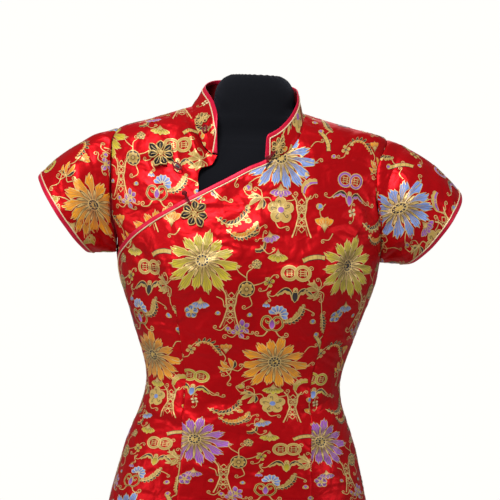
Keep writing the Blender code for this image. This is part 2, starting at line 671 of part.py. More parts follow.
frog("collar_left", on_collar(0.060, 0.0118, np.radians(180)), 0.0105, ON_COLLAR, "loop")
frog("collar_right", on_collar(SEAM_LENGTH - 0.0195, 0.0132, np.radians(-38)), 0.0115, ON_COLLAR, "knot")
frog("chest", on_front(-0.1250, 1.3400, np.radians(-38)), FLOWER, ON_PANEL, "loop")
frog("closure", on_front(-0.0800, 1.2630, np.radians(118)), FLOWER, ON_PANEL + BINDING_WALL / 2, "knot")


# Dress form and stand -----------------------------------------------------------------------

def form_rows():
    """Ovals of the form: the dress less its ease up to the shoulders, then the neck."""
    heights = (0.720, 0.760, 0.800, 0.840, 0.890, 0.946, 0.990, 1.040, 1.080, 1.115, 1.150, 1.185, 1.213,
               1.240, 1.270, 1.300, 1.325, 1.345, 1.360)
    rows = []
    for z in heights:
        half = min(smooth(z, SECTIONS, 1), smooth(z, SECTIONS, 2))
        rows.append((z, half - EASE, smooth(z, SECTIONS, 3) - EASE, smooth(z, SECTIONS, 4) - EASE, SQUARE))
    z, half, front, back, power = rows[0]
    foot = [(FORM_FOOT, 0.90, 0), (FORM_FOOT + 0.2 * FORM_FOOT_ROUND, 0.97, 0)]
    rows = [(height, half * k, front * k, back * k, power) for height, k, _ in foot] + rows
    return rows + [(z, half, front, back, 2.1) for z, half, front, back in FORM_NECK]


jersey = material("black_jersey", BLACK, 0.85)
steel = material("stand_steel", STEEL, 0.35, 0.8)
turned("form_torso", form_rows(), 32, jersey)
POLE = 0.0125
BASE = 0.165
HUB_TOP = 0.030
turned("stand_base", [(z, r, r, r, 2) for z, r in ((0, 0.160), (0.002, BASE), (0.010, BASE), (0.013, 0.160),
                                                   (0.018, 0.090), (0.022, 0.030), (HUB_TOP, 0.024))], 48, steel)
turned("stand_pole", [(z, POLE, POLE, POLE, 2) for z in (HUB_TOP + GAP, FORM_FOOT - GAP)], 20, steel)
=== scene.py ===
"""Cheongsam of figured satin brocade, worn by a limbless dress form on its stand."""

import bmesh
import bpy
import numpy as np
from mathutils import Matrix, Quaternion, Vector


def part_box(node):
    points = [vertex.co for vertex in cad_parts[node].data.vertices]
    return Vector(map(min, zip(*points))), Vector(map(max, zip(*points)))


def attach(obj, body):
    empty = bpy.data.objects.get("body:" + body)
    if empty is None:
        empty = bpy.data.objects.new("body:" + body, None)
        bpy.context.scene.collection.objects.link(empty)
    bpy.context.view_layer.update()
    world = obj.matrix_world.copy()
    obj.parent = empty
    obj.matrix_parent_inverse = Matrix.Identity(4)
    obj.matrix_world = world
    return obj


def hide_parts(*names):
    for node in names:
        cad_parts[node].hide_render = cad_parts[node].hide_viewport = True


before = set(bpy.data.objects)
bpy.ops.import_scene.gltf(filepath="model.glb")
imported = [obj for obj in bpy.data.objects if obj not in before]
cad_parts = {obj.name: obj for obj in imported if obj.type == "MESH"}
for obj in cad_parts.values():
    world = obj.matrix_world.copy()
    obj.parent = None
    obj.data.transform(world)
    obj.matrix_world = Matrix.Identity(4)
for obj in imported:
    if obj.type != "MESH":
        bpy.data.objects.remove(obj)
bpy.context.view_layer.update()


# Stand --------------------------------------------------------------------------------------
# A round steel base plate under a thin pressed cover, with a steel tube standing in its hub.
# Both are powder coated black, which leaves a fine orange-peel skin.

def finish_mesh(name, points, faces, made, smooth=True):
    """New piece from an array of points and an array of faces, with its materials; it rides on the part."""
    mesh = bpy.data.meshes.new(name)
    mesh.from_pydata(np.asarray(points, float).tolist(), [], np.asarray(faces).tolist())
    for one in made if isinstance(made, (list, tuple)) else [made]:
        mesh.materials.append(one)
    mesh.polygons.foreach_set("use_smooth", np.full(len(mesh.polygons), smooth))
    piece = bpy.data.objects.new(name, mesh)
    bpy.context.scene.collection.objects.link(piece)
    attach(piece, "root")
    return piece


def grid_faces(rows, columns, ring=False, first=0):
    """Quads of a grid of rows by columns; in a ring the last column joins the first."""
    r, c = np.meshgrid(np.arange(rows - 1), np.arange(columns if ring else columns - 1), indexing="ij")
    d = (c + 1) % columns
    quads = np.stack((r * columns + c, r * columns + d, (r + 1) * columns + d, (r + 1) * columns + c), -1)
    return first + quads.reshape(-1, 4)


def close_up(piece, distance=1e-6):
    """Merges the points that meet at seams and poles, and turns every face outwards."""
    work = bmesh.new()
    work.from_mesh(piece.data)
    bmesh.ops.remove_doubles(work, verts=work.verts, dist=distance)
    bmesh.ops.recalc_face_normals(work, faces=work.faces)
    work.to_mesh(piece.data)
    work.free()


def turned(name, profile, made, sides=128):
    """Profile of radius and height carried round the upright axis, closed where its radius is nothing."""
    turn = np.arange(sides) * 2 * np.pi / sides
    r, z = np.array(profile, float).T
    points = np.stack((r[:, None] * np.cos(turn), r[:, None] * np.sin(turn),
                       np.repeat(z[:, None], sides, 1)), -1)
    piece = finish_mesh(name, points.reshape(-1, 3), grid_faces(len(r), sides, ring=True), made)
    close_up(piece)
    piece.data.set_sharp_from_angle(angle=np.radians(35))
    return piece


def shader(name, colour, roughness, **sockets):
    """Principled material with its constants on the shader's own sockets."""
    made = bpy.data.materials.new(name)
    made.use_nodes = True
    surface = made.node_tree.nodes["Principled BSDF"]
    surface.inputs["Base Color"].default_value = (*colour, 1)
    surface.inputs["Roughness"].default_value = roughness
    for socket, value in sockets.items():
        surface.inputs[socket.replace("_", " ")].default_value = value
    return made


def node(made, kind, **values):
    """New node with its settings and, by name, the values of its sockets."""
    new = made.node_tree.nodes.new(kind)
    for key, value in values.items():
        if hasattr(new, key):
            setattr(new, key, value)
        else:
            new.inputs[key.replace("_", " ")].default_value = value
    return new


def link(made, start, output, end, entry):
    """Joins one node's output to another's input."""
    made.node_tree.links.new(start.outputs[output], end.inputs[entry])


def bumpy(made, height, output, strength, distance, under=None):
    """Sends a height pattern to the surface's normal, over another bump if there is one."""
    bump = node(made, "ShaderNodeBump", Strength=strength, Distance=distance)
    if under:
        link(made, under, "Normal", bump, "Normal")
    link(made, height, output, bump, "Height")
    link(made, bump, "Normal", made.node_tree.nodes["Principled BSDF"], "Normal")


def powder_coat():
    """Black powder coat: a fine noise lifts the skin and breaks up its gloss."""
    made = shader("black_powder_coat", (0.018, 0.018, 0.020), 0.42, Metallic=0.0, Coat_Weight=0.25,
                  Coat_Roughness=0.25)
    place = node(made, "ShaderNodeTexCoord")
    peel = node(made, "ShaderNodeTexNoise", Scale=900.0, Detail=2.0)
    wear = node(made, "ShaderNodeTexNoise", Scale=14.0, Detail=4.0)
    gloss = node(made, "ShaderNodeMapRange", To_Min=0.36, To_Max=0.52)
    link(made, place, "Object", peel, "Vector")
    link(made, place, "Object", wear, "Vector")
    link(made, wear, "Fac", gloss, "Value")
    link(made, gloss, "Result", made.node_tree.nodes["Principled BSDF"], "Roughness")
    bumpy(made, peel, "Fac", 0.25, 0.0002)
    return made


coat = powder_coat()
base_low, base_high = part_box("stand_base")
pole_low, pole_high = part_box("stand_pole")
BASE_RADIUS = base_high[0]
POLE_RADIUS = pole_high[0]
HUB = 0.024
base_profile = [(0, 0), (BASE_RADIUS - 0.005, 0), (BASE_RADIUS - 0.002, 0.0008), (BASE_RADIUS, 0.003),
                (BASE_RADIUS, 0.0085), (BASE_RADIUS - 0.0012, 0.0108), (BASE_RADIUS - 0.005, 0.0128),
                (0.125, 0.0160), (0.090, 0.0182), (0.050, 0.0204), (0.032, 0.0222), (0.0262, 0.0245),
                (HUB, 0.0275), (HUB - 0.0008, 0.0295), (HUB - 0.002, base_high[2]), (0, base_high[2])]
stand_base = turned("base_plate_and_cover", base_profile, coat)
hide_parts("stand_base")
pole_profile = [(0, pole_low[2]), (POLE_RADIUS - 0.001, pole_low[2]), (POLE_RADIUS, pole_low[2] + 0.001),
                (POLE_RADIUS, pole_high[2] - 0.001), (POLE_RADIUS - 0.001, pole_high[2]), (0, pole_high[2])]
stand_pole = turned("pole_tube", pole_profile, coat, sides=64)
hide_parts("stand_pole")


# Shape of the worn dress --------------------------------------------------------------------
# The dress hangs from the shoulders and is shaped by its cut and darts. Level sections give its
# reach to each side and its depth to the front and back; the dress form follows it, a little smaller.

GAP = 0.0003
WALL = 0.0012
COLLAR_WALL = 0.0016
BINDING_WALL = 0.0022
BINDING = 0.0065
EASE = 0.0065
HEM = 0.420
SLIT_TOP = 0.640
SLIT_SPREAD = 0.004
YOKE = 1.165
UNDERARM = 1.208
SHOULDER_TIP = 1.3725
TUCK = 0.0030
SQUARE = 2.2
BUST_HEIGHT = 1.190
BUST_APART = 0.090
BUST_RISE = 0.011
BUST_SPREAD = 0.048
SECTIONS = np.array((
    # height  left    right   front   back
    (0.4200, 0.1720, 0.1720, 0.1160, 0.1220),
    (0.6000, 0.1770, 0.1770, 0.1160, 0.1280),
    (0.7400, 0.1800, 0.1800, 0.1140, 0.1340),
    (0.8400, 0.1775, 0.1775, 0.1120, 0.1330),
    (0.9460, 0.1565, 0.1565, 0.1060, 0.1160),
    (1.0400, 0.1295, 0.1295, 0.0960, 0.0910),
    (1.1150, 0.1500, 0.1500, 0.1080, 0.0980),
    (1.1850, 0.1730, 0.1730, 0.1200, 0.1060),
    (1.2130, 0.1780, 0.1770, 0.1170, 0.1070),
    (1.2700, 0.2000, 0.1870, 0.1010, 0.1040),
    (1.3200, 0.2070, 0.1900, 0.0830, 0.0960),
    (1.3520, 0.2000, 0.1890, 0.0700, 0.0840),
    (1.3725, 0.1800, 0.1800, 0.0580, 0.0720),
    (1.3880, 0.1351, 0.1205, 0.0460, 0.0630),
    (1.4030, 0.0917, 0.0630, 0.0320, 0.0540),
    (1.4200, 0.0425, 0.0100, 0.0200, 0.0460),
))


def smooth(at, table, column):
    """Cubic between each two rows of a table, its slope at a row the harmonic mean of the two
    neighbouring slopes, so that it never overshoots."""
    x, y = table[:, 0], table[:, column]
    step = np.diff(x)
    slope = np.diff(y) / step
    both = np.where(slope[:-1] + slope[1:] == 0, 1, slope[:-1] + slope[1:])
    inner = np.where(slope[:-1] * slope[1:] > 0, 2 * slope[:-1] * slope[1:] / both, 0)
    grade = np.concatenate((slope[:1], inner, slope[-1:]))
    at = np.clip(at, x[0], x[-1])
    k = np.clip(np.searchsorted(x, at) - 1, 0, len(step) - 1)
    t = (at - x[k]) / step[k]
    return (y[k] * (1 + 2 * t) * (1 - t) ** 2 + y[k + 1] * t ** 2 * (3 - 2 * t)
            + step[k] * (grade[k] * t * (1 - t) ** 2 - grade[k + 1] * t ** 2 * (1 - t)))


def reach_of(x, z):
    """Reach of the section at a height, to the side that x is on."""
    return np.where(x < 0, smooth(z, SECTIONS, 1), smooth(z, SECTIONS, 2))


def depth_of(x, z, facing):
    """Depth of the section at a height; in front the two bust cups add a round rise each."""
    rise = sum(np.exp(-((x - side * BUST_APART) ** 2 + (z - BUST_HEIGHT) ** 2) / BUST_SPREAD ** 2)
               for side in (-1, 1))
    return smooth(z, SECTIONS, 3) + BUST_RISE * rise if facing < 0 else smooth(z, SECTIONS, 4)


def on_body(x, z, facing):
    """Points at x and height z on the front (-1) or the back (+1): y is the depth times the
    superellipse's height there."""
    x, z = np.broadcast_arrays(np.asarray(x, float), np.asarray(z, float))
    share = np.clip(np.abs(x) / reach_of(x, z), 0, 1)
    return np.stack((x, facing * depth_of(x, z, facing) * (1 - share ** SQUARE) ** (1 / SQUARE), z), -1)


def around(turn, z):
    """Points at a turn from the left side through the front, and a height."""
    turn, z = np.broadcast_arrays(np.asarray(turn, float), np.asarray(z, float))
    c, s = np.cos(turn), np.sin(turn)
    x = -np.sign(c) * np.abs(c) ** (2 / SQUARE) * reach_of(-c, z)
    depth = np.where(s >= 0, depth_of(x, z, -1), depth_of(x, z, 1))
    return np.stack((x, -np.sign(s) * np.abs(s) ** (2 / SQUARE) * depth, z), -1)


def field(p):
    """Superellipse sum less one: nothing on the dress, more outside."""
    x, y, z = p[..., 0], p[..., 1], p[..., 2]
    depth = np.where(y < 0, depth_of(x, z, -1), depth_of(x, z, 1))
    return (np.abs(x) / reach_of(x, z)) ** SQUARE + (np.abs(y) / depth) ** SQUARE - 1


def slope_of(p):
    """Gradient of the field over a tenth of a millimetre to each side."""
    step = 0.0001
    return np.stack([(field(p + step * axis) - field(p - step * axis)) / (2 * step) for axis in np.eye(3)],
                    -1)


def unit(v):
    """Each vector divided by its own length."""
    return v / np.linalg.norm(v, axis=-1, keepdims=True)


def outwards(p):
    """Way straight off the dress: its slope, made one long."""
    return unit(slope_of(p))


def snap(p):
    """Points moved the short way onto the dress, by Newton's method."""
    for _ in range(4):
        g = slope_of(p)
        p = p - g * (field(p) / np.sum(g * g, -1))[..., None]
    return p


def lengths(path):
    """Length along a path from its start to each of its points."""
    return np.concatenate(((0,), np.cumsum(np.linalg.norm(np.diff(path, axis=0), axis=1))))


def spread(path, shares):
    """Points at given shares of a path's length."""
    length = lengths(path)
    return np.stack([np.interp(shares * length[-1], length, path[:, k]) for k in range(path.shape[1])], -1)


def along(path):
    """Direction of a path at each of its points."""
    return unit(np.gradient(path, axis=0))


def beside(path, distance):
    """A path on the dress moved sideways over it, to the left of its own direction."""
    return snap(path + distance * np.cross(outwards(path), along(path)))


# Dress form ---------------------------------------------------------------------------------
# A limbless torso of glass fibre under tight black cotton jersey. Its neck is closed at the top
# with the jersey gathered over the rim, and its foot, where the pole goes in, is built closed and flat.

FORM_NECK = np.array((
    # height  half    front   back
    (1.3600, 0.1760, 0.0580, 0.0710),
    (1.3700, 0.1690, 0.0500, 0.0620),
    (1.3800, 0.1300, 0.0480, 0.0580),
    (1.3900, 0.0860, 0.0480, 0.0530),
    (1.3980, 0.0600, 0.0475, 0.0490),
    (1.4080, 0.0545, 0.0475, 0.0480),
    (1.4200, 0.0540, 0.0473, 0.0478),
    (1.4300, 0.0525, 0.0464, 0.0470),
    (1.4390, 0.0485, 0.0432, 0.0440),
    (1.4460, 0.0425, 0.0380, 0.0392),
    (1.4505, 0.0340, 0.0300, 0.0312),
))


def jersey_cloth():
    """Black cotton jersey: fine upright ribs of loops, as a small bump, with a soft sheen."""
    made = shader("black_cotton_jersey", (0.0035, 0.0040, 0.0065), 0.90, Sheen_Weight=0.10,
                  Sheen_Roughness=0.5,
                  Specular_IOR_Level=0.15)
    made.node_tree.nodes["Principled BSDF"].inputs["Sheen Tint"].default_value = (0.35, 0.38, 0.5, 1)
    place = node(made, "ShaderNodeTexCoord")
    ribs = node(made, "ShaderNodeTexWave", bands_direction="X", Scale=420.0, Distortion=0.6, Detail=1.0)
    link(made, place, "UV", ribs, "Vector")
    bumpy(made, ribs, "Fac", 0.35, 0.0003)
    return made


def form_ovals(z):
    """Half width, front depth and back depth of the form: the dress less its ease, then the neck."""
    half = np.minimum(smooth(z, SECTIONS, 1), smooth(z, SECTIONS, 2)) - EASE
    low = np.stack((half, smooth(z, SECTIONS, 3) - EASE, smooth(z, SECTIONS, 4) - EASE), -1)
    high = np.stack([smooth(z, FORM_NECK, k) for k in (1, 2, 3)], -1)
    share = np.clip((z - 1.352) / 0.010, 0, 1)[:, None]
    return low * (1 - share) + high * share


form_low, form_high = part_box("form_torso")
foot = np.array(((0, 0.0), (0.60, 0.0), (0.90, 0.0), (0.955, 0.0012), (0.985, 0.0045), (1.0, 0.0100)))
form_z = np.concatenate((np.linspace(form_low[2] + 0.010, 1.34, 64)[1:], np.linspace(1.345, 1.4505, 44)))
ovals = form_ovals(form_z)
foot_oval = form_ovals(np.array((form_low[2] + 0.010,)))
ovals = np.concatenate((foot_oval * foot[:, :1], ovals,
                        ovals[-1:] * np.array(((0.8,), (0.5,), (0.2,), (0,)))))
form_z = np.concatenate((form_low[2] + foot[:, 1], form_z,
                         1.4505 + np.array((-0.0005, -0.0012, -0.0016, -0.0017))))
FORM_SIDES = 144
turn = np.arange(FORM_SIDES) * 2 * np.pi / FORM_SIDES
c, s = np.cos(turn), np.sin(turn)
form_points = np.stack((ovals[:, :1] * np.sign(c) * np.abs(c) ** (2 / SQUARE),
                        np.where(s > 0, ovals[:, 2:], ovals[:, 1:2]) * np.sign(s) * np.abs(s) ** (2 / SQUARE),
                        np.repeat(form_z[:, None], FORM_SIDES, 1)), -1)
gather = np.clip((form_points[..., 2] - 1.440) / 0.008, 0,
                 1) * np.sin(turn * 31 + 3 * np.sin(3 * turn)) * 0.0004
form_points[..., 2] += np.where(form_points[..., 2] < 1.4510, gather, 0)
form = finish_mesh("form_torso_jersey", form_points.reshape(-1, 3),
                   grid_faces(len(form_z), FORM_SIDES, ring=True),
                   jersey_cloth())
form_uv = form.data.uv_layers.new(name="cloth")
corner = np.empty(len(form.data.loops), int)
form.data.loops.foreach_get("vertex_index", corner)
flat = np.stack((np.broadcast_to(turn / (2 * np.pi) * 0.85, form_points.shape[:2]), form_points[..., 2]), -1)
form_uv.data.foreach_set("uv", flat.reshape(-1, 2)[corner].astype(np.float32).ravel())
close_up(form, 1e-5)
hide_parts("form_torso")


# Brocade ------------------------------------------------------------------------------------
# Satin-faced silk brocade: a scarlet satin ground with figures woven in gilt and coloured floss.
# Each figure is drawn flat in millimetres, then laid on the panels along their grain.

GILT, GOLD, OLIVE, ORANGE, PURPLE, BLUE, BLACK, PALE = range(8)
THREADS = np.array((
    # dark end            light end of a petal
    ((0.30, 0.140, 0.020), (0.92, 0.66, 0.24)),     # gilt, the outlines
    ((0.30, 0.16, 0.020), (0.74, 0.49, 0.12)),      # gold floss
    ((0.15, 0.095, 0.003), (0.74, 0.60, 0.030)),    # olive
    ((0.50, 0.090, 0.002), (1.00, 0.42, 0.006)),    # orange
    ((0.12, 0.015, 0.20), (0.50, 0.15, 0.64)),      # purple
    ((0.030, 0.055, 0.26), (0.30, 0.43, 0.86)),     # blue
    ((0.006, 0.004, 0.005), (0.030, 0.018, 0.020)),  # black
    ((0.55, 0.38, 0.16), (0.95, 0.80, 0.50)),       # pale gold
))


def ribbon(path, width, thread=GILT, tone=0.7):
    """Thread laid along a path: the path moved half its width to each side."""
    t = np.gradient(path, axis=0)
    side = np.stack((-t[:, 1], t[:, 0]), -1) / np.maximum(np.linalg.norm(t, axis=1), 1e-6)[:, None]
    side *= (np.broadcast_to(width, len(path)) / 2)[:, None]
    return np.stack((path + side, path - side), 1), 2, thread, tone


def through(points, count=18):
    """Smooth path through a few points: Catmull-Rom cubics, evenly sampled."""
    p = np.asarray(points, float)
    p = np.concatenate((2 * p[:1] - p[1:2], p, 2 * p[-1:] - p[-2:-1]))
    at = np.linspace(0, len(p) - 3, count)
    k = np.minimum(at.astype(int), len(p) - 4)
    t = (at - k)[:, None]
    a, b, c, d = p[k], p[k + 1], p[k + 2], p[k + 3]
    return b + 0.5 * t * (c - a + t * (2 * a - 5 * b + 4 * c - d + t * (3 * (b - c) + d - a)))


def curled(points, curl=3.0, hand=1, turns=1.25, count=16):
    """Path through points that ends in a curl: a spiral whose radius shrinks to a fifth."""
    path = through(points, count)
    ahead = path[-1] - path[-2]
    ahead /= np.linalg.norm(ahead)
    start = np.arctan2(ahead[1], ahead[0]) - hand * np.pi / 2
    t = np.linspace(0, 1, 15)[1:]
    radius = curl * (1 - 0.8 * t)
    centre = path[-1] - curl * np.array((np.cos(start), np.sin(start)))
    angle = start + hand * turns * 2 * np.pi * t
    return np.concatenate((path, centre + radius[:, None] * np.stack((np.cos(angle), np.sin(angle)), -1)))


def tendril(points, curl=3.0, hand=1, width=1.0, turns=1.25):
    """Gilt tendril that thins towards its curl."""
    path = curled(points, curl, hand, turns)
    return ribbon(path, 1.3 * width * np.linspace(1.0, 0.6, len(path)), GILT, 0.75)


def leaf(base, tip, width, thread, bow=0.0, full=0.55, count=8):
    """Pointed leaf from base to tip: its spine bows sideways, its half width is a sine pushed
    towards the share of the length where it is fullest."""
    base, tip = np.asarray(base, float), np.asarray(tip, float)
    t = np.linspace(0, 1, count)
    ahead = tip - base
    across = np.array((-ahead[1], ahead[0])) / np.linalg.norm(ahead)
    spine = base + t[:, None] * ahead + (4 * t * (1 - t) * bow)[:, None] * across
    half = width / 2 * np.sin(np.pi * t ** (np.log(0.5) / np.log(full))) ** 0.8
    grid = spine[:, None] + half[:, None, None] * np.array((1, 0, -1))[None, :, None] * across
    return grid, 1, thread, t[:, None]


def rim(part, width=0.7, thread=GILT, tone=0.75):
    """Outline of a leaf or petal: round both its long edges and its tip."""
    grid = part[0]
    path = np.concatenate((grid[:, 0], grid[-1, 1:-1], grid[::-1, -1]))
    return ribbon(path, width, thread, tone)


def edged(part, width=0.7, thread=GILT, tone=0.75):
    """A part and the line of thread round it."""
    return [part, rim(part, width, thread, tone)]


def disc(centre, radius, thread, inner=0.0, tone=0.6, sides=18, squash=1.0):
    """Disc or flat ring of threads round a centre."""
    angle = np.linspace(0, 2 * np.pi, sides + 1)
    r = np.linspace(inner, radius, 3)[:, None]
    grid = np.stack((r * np.cos(angle), r * np.sin(angle) * squash), -1) + np.asarray(centre, float)
    return grid, 1, thread, tone


def hoop(centre, radius, width, thread=GILT, tone=0.75, sides=20, squash=1.0):
    """Ribbon of thread bent round a centre, squashed upwards where it is oval."""
    angle = np.linspace(0, 2 * np.pi, sides + 1)
    return ribbon(np.stack((radius * np.cos(angle), radius * squash * np.sin(angle)),
                           -1) + np.asarray(centre, float),
                  width, thread, tone)


def raised(parts, by=1):
    """The same parts, one or more layers of thread higher."""
    return [(grid, layer + by, thread, tone) for grid, layer, thread, tone in parts]


def turned_over(parts, degrees=0.0, mirror=False, scale=1.14, shift=(0, 0)):
    """Parts mirrored, scaled, turned and moved in the flat."""
    a = np.radians(degrees)
    matrix = scale * np.array(((np.cos(a), -np.sin(a)), (np.sin(a), np.cos(a))))
    matrix = matrix @ np.diag((-1 if mirror else 1, 1))
    return [(grid @ matrix.T + np.asarray(shift, float), layer, thread, tone) for grid, layer, thread,
            tone in parts]


def petal(angle, length, half, thread, droop, root=8.0):
    """Petal of a chrysanthemum: it widens from its root and ends in three uneven frills, and it
    droops by the square of the way along it."""
    t = np.linspace(0, 1, 8)[:, None]
    s = np.linspace(-1, 1, 9)[None]
    frill = 0.30 * np.abs(np.cos(1.5 * np.pi * s + 0.5 * np.sin(9 * angle))) - 0.36 * s ** 2
    r = root + (length - root) * t * (1 + frill * t ** 2)
    open_to = half * (0.20 + 0.80 * (3 * t ** 2 - 2 * t ** 3) ** 1.15) * (1 + 0.10 * np.sin(8 * t))
    x = r * np.cos(angle) - s * open_to * np.sin(angle)
    y = r * np.sin(angle) + s * open_to * np.cos(angle) - droop * t ** 2
    tone = (0.12 + 0.88 * t ** 0.6) * (0.74 - 0.26 * np.cos(4 * np.pi * s))
    return np.stack((x, y), -1), 1, thread, tone


def chrysanthemum(thread, leaf_thread=GILT):
    """Fourteen drooping petals edged in gilt, with gilt leaves between them, round a black eye with
    a gold boss; a long gilt leaf hangs from the middle."""
    parts = []
    angles = np.radians(-90 + 360 * (np.arange(14) + 0.5) / 14)
    for a in angles:
        length = 34.0 + 4.5 * np.abs(np.cos(a)) - 4.0 * max(np.sin(a), 0) + 3.0 * np.sin(5 * a + 1)
        one = petal(a + 0.04 * np.sin(7 * a), length, 5.5, thread, 5.5 * abs(np.cos(a)) ** 1.5)
        grid = one[0]
        parts += [one, rim(one, 0.85, GILT, 0.85),
                  ribbon(grid[:-1, 3] * 0.985, 0.45, GILT, 0.45),
                  ribbon(grid[:-1, 5] * 0.985, 0.45, GILT, 0.45)]
    for a in angles + np.pi / 14:
        away = np.array((np.cos(a), np.sin(a)))
        down = np.array((0, -2.6 * abs(np.cos(a))))
        parts += raised(edged(leaf(8 * away, (24 if np.sin(a) > -0.99 else 34) * away + down, 3.4,
                                   leaf_thread), 0.5,
                              BLACK, 0.6))
    parts += raised([disc((0, 0), 7.8, BLACK, sides=24), hoop((0, 0), 8.1, 1.1),
                     disc((0, 0), 4.2, GOLD, tone=0.7)], 2)
    beads = 6.1 * np.stack((np.cos(np.arange(10) * np.pi / 5), np.sin(np.arange(10) * np.pi / 5)), -1)
    parts += raised([ribbon(bead[None] * np.array(((0.86,), (1.14,))), 1.1, GILT, 0.8) for bead in beads], 3)
    parts += raised([hoop((0, 0), 4.3, 0.6, GILT, 0.9)], 3)
    return parts


def lotus(thread, petals=5, up=False):
    """Small lotus: a fan of pointed petals below a gilt cup."""
    parts = []
    for k in np.arange(petals) - (petals - 1) / 2:
        a = np.radians(-90 + 36 * k)
        tip = np.array((13 * np.sin(np.radians(36 * k)), -12.5 + 1.2 * abs(k) ** 1.5 * 1.6))
        parts += raised(edged(leaf((1.2 * k, -2.0), tip, 6.4, thread, bow=-0.9 * k), 0.6), int(2 - abs(k)))
    cup = leaf((0, 5.0), (0, -4.5), 5.5, GILT, full=0.7)
    parts += raised([cup], 3) + raised([ribbon(through([(-4, -1), (0, -4.5), (4, -1)], 9), 0.7)], 3)
    return turned_over(parts, 180) if up else parts


def trellis():
    """Upright gilt ornament of linked lozenges between two flaring posts."""
    parts = []
    for side in (-1, 1):
        post = through([(side * 11, 23), (side * 6.4, 16), (side * 5.4, 7), (side * 4.0, 0), (side * 5.4, -7),
                        (side * 7.6, -15), (side * 11, -24)], 22)
        parts += [ribbon(post, 1.5, GILT, 0.85), ribbon(post * np.array((0.62, 0.92)), 0.6, GILT, 0.5)]
    for y, size in ((15, 3.6), (7.5, 3.0), (0, 3.8), (-7.5, 3.0), (-15, 3.6)):
        lozenge = np.array(((0, size), (size, 0), (0, -size), (-size, 0), (0, size), (size, 0)))
        parts += [ribbon(lozenge[:5] * 1.0 + (0, y), 1.1, GILT, 0.8)]
    for y, reach in ((11.2, 5.2), (3.8, 4.6), (-3.8, 4.6), (-11.2, 5.6)):
        parts += [ribbon(np.array(((-reach, y), (0, y), (reach, y))), 1.2, GILT, 0.85)]
    return parts


def coins(thread):
    """Two overlapping round coins with a lattice in the hole of each."""
    parts = []
    for x, layer in ((-7.5, 0), (7.5, 1)):
        parts += raised([disc((x, 0), 9.6, thread, inner=6.2, squash=0.92),
                         hoop((x, 0), 9.6, 0.9, squash=0.92),
                         hoop((x, 0), 6.4, 0.7, squash=0.92)], layer)
        parts += raised([ribbon(np.array(((x - 4, y), (x, y), (x + 4, y))), 0.9, GILT,
                                0.6) for y in (-2.4, 0, 2.4)]
                        + [ribbon(np.array(((x + d, -4), (x + d, 0), (x + d, 4))), 0.9, GILT, 0.6)
                           for d in (-2.4, 2.4)], layer)
    return parts


def winged(thread, body=PURPLE):
    """Winged scroll: two scalloped wings, dark above and gilt below, at a small round body."""
    parts = []
    for side in (-1, 1):
        t = np.linspace(0, 1, 16)
        top = np.stack((side * (3 + 19 * t), 2 + 7 * np.sin(np.pi * t ** 0.8) - 3 * t), -1)
        drop = (7.5 * (1 - t) ** 0.5 + 1.0) * (0.62 + 0.38 * np.abs(np.cos(3 * np.pi * t)))
        low = top - np.stack((side * 1.5 * t, drop), -1)
        mid = top * 0.45 + low * 0.55
        parts += [(np.stack((top, mid), 1), 1, BLACK, 0.5), (np.stack((mid, low), 1), 1, thread, 0.7)]
        parts += [ribbon(top, 0.8), ribbon(low, 0.7), ribbon(mid, 0.5, GILT, 0.5)]
        parts += [tendril([(side * 20, 0), (side * 25, -3), (side * 30, -2)], 2.4, side, 0.8)]
    parts += raised(edged(leaf((0, 7), (0, -9), 7.0, body), 0.7) + [disc((0, 5.5), 2.6, GOLD),
                                                                    hoop((0, 5.5), 2.6, 0.6)], 1)
    return parts


def plume(spine, lobes=9, left=BLACK, right=ORANGE, longest=9.0):
    """Curled feather: tapering lobes leave its spine at both sides, of one colour at each."""
    path = through(spine, 40)
    ahead = unit(np.gradient(path, axis=0))
    parts = []
    for k in range(lobes):
        share = (k + 0.6) / lobes
        at = int(share * 39)
        size = longest * np.sin(np.pi * (0.12 + 0.83 * share)) ** 0.7
        for side, thread, lean in ((1, left, 0.80), (-1, right, 0.62)):
            away = lean * side * np.array((-ahead[at, 1], ahead[at, 0])) + (1 - 0.4 * lean) * ahead[at]
            reach = size * (1.0 if side > 0 else 0.72)
            parts += edged(leaf(path[at], path[at] + reach * away, 0.42 * longest, thread, bow=-0.8 * side,
                                count=6),
                           0.5, GILT, 0.65)
    return parts + raised([ribbon(path, np.linspace(1.3, 0.6, 40), GILT, 0.9)], 1)


def blossom(thread, eye=BLUE, radius=8.6):
    """Plum blossom of five round petals with a curl in each and a coloured eye."""
    parts = []
    for a in np.radians(90 + 72 * np.arange(5)):
        centre = radius * np.array((np.cos(a), np.sin(a)))
        parts += [disc(centre, radius * 0.74, thread, tone=0.75, sides=16), hoop(centre, radius * 0.74, 0.9)]
        parts += raised([ribbon(curled([centre * 0.55, centre * 0.8, centre * 1.1], 1.9, 1, 0.9), 0.6,
                                BLACK, 0.8)], 1)
    return parts + raised([disc((0, 0), radius * 0.42, eye), hoop((0, 0), radius * 0.44, 0.7)], 2)


def rosette(thread, ground=BLACK, radius=9.0, squash=1.0):
    """Round rosette: eight small petals on a dark disc with a gilt hoop."""
    parts = [disc((0, 0), radius, ground, squash=squash), hoop((0, 0), radius, 1.0, squash=squash)]
    for a in np.arange(8) * np.pi / 4:
        away = np.array((np.cos(a), np.sin(a) * squash))
        parts += raised([leaf(0.2 * radius * away, 0.88 * radius * away, 0.5 * radius, thread, count=5)], 1)
    return parts + raised([disc((0, 0), radius * 0.2, GILT), hoop((0, 0), radius * 0.55, 0.4, GILT, 0.4)], 2)


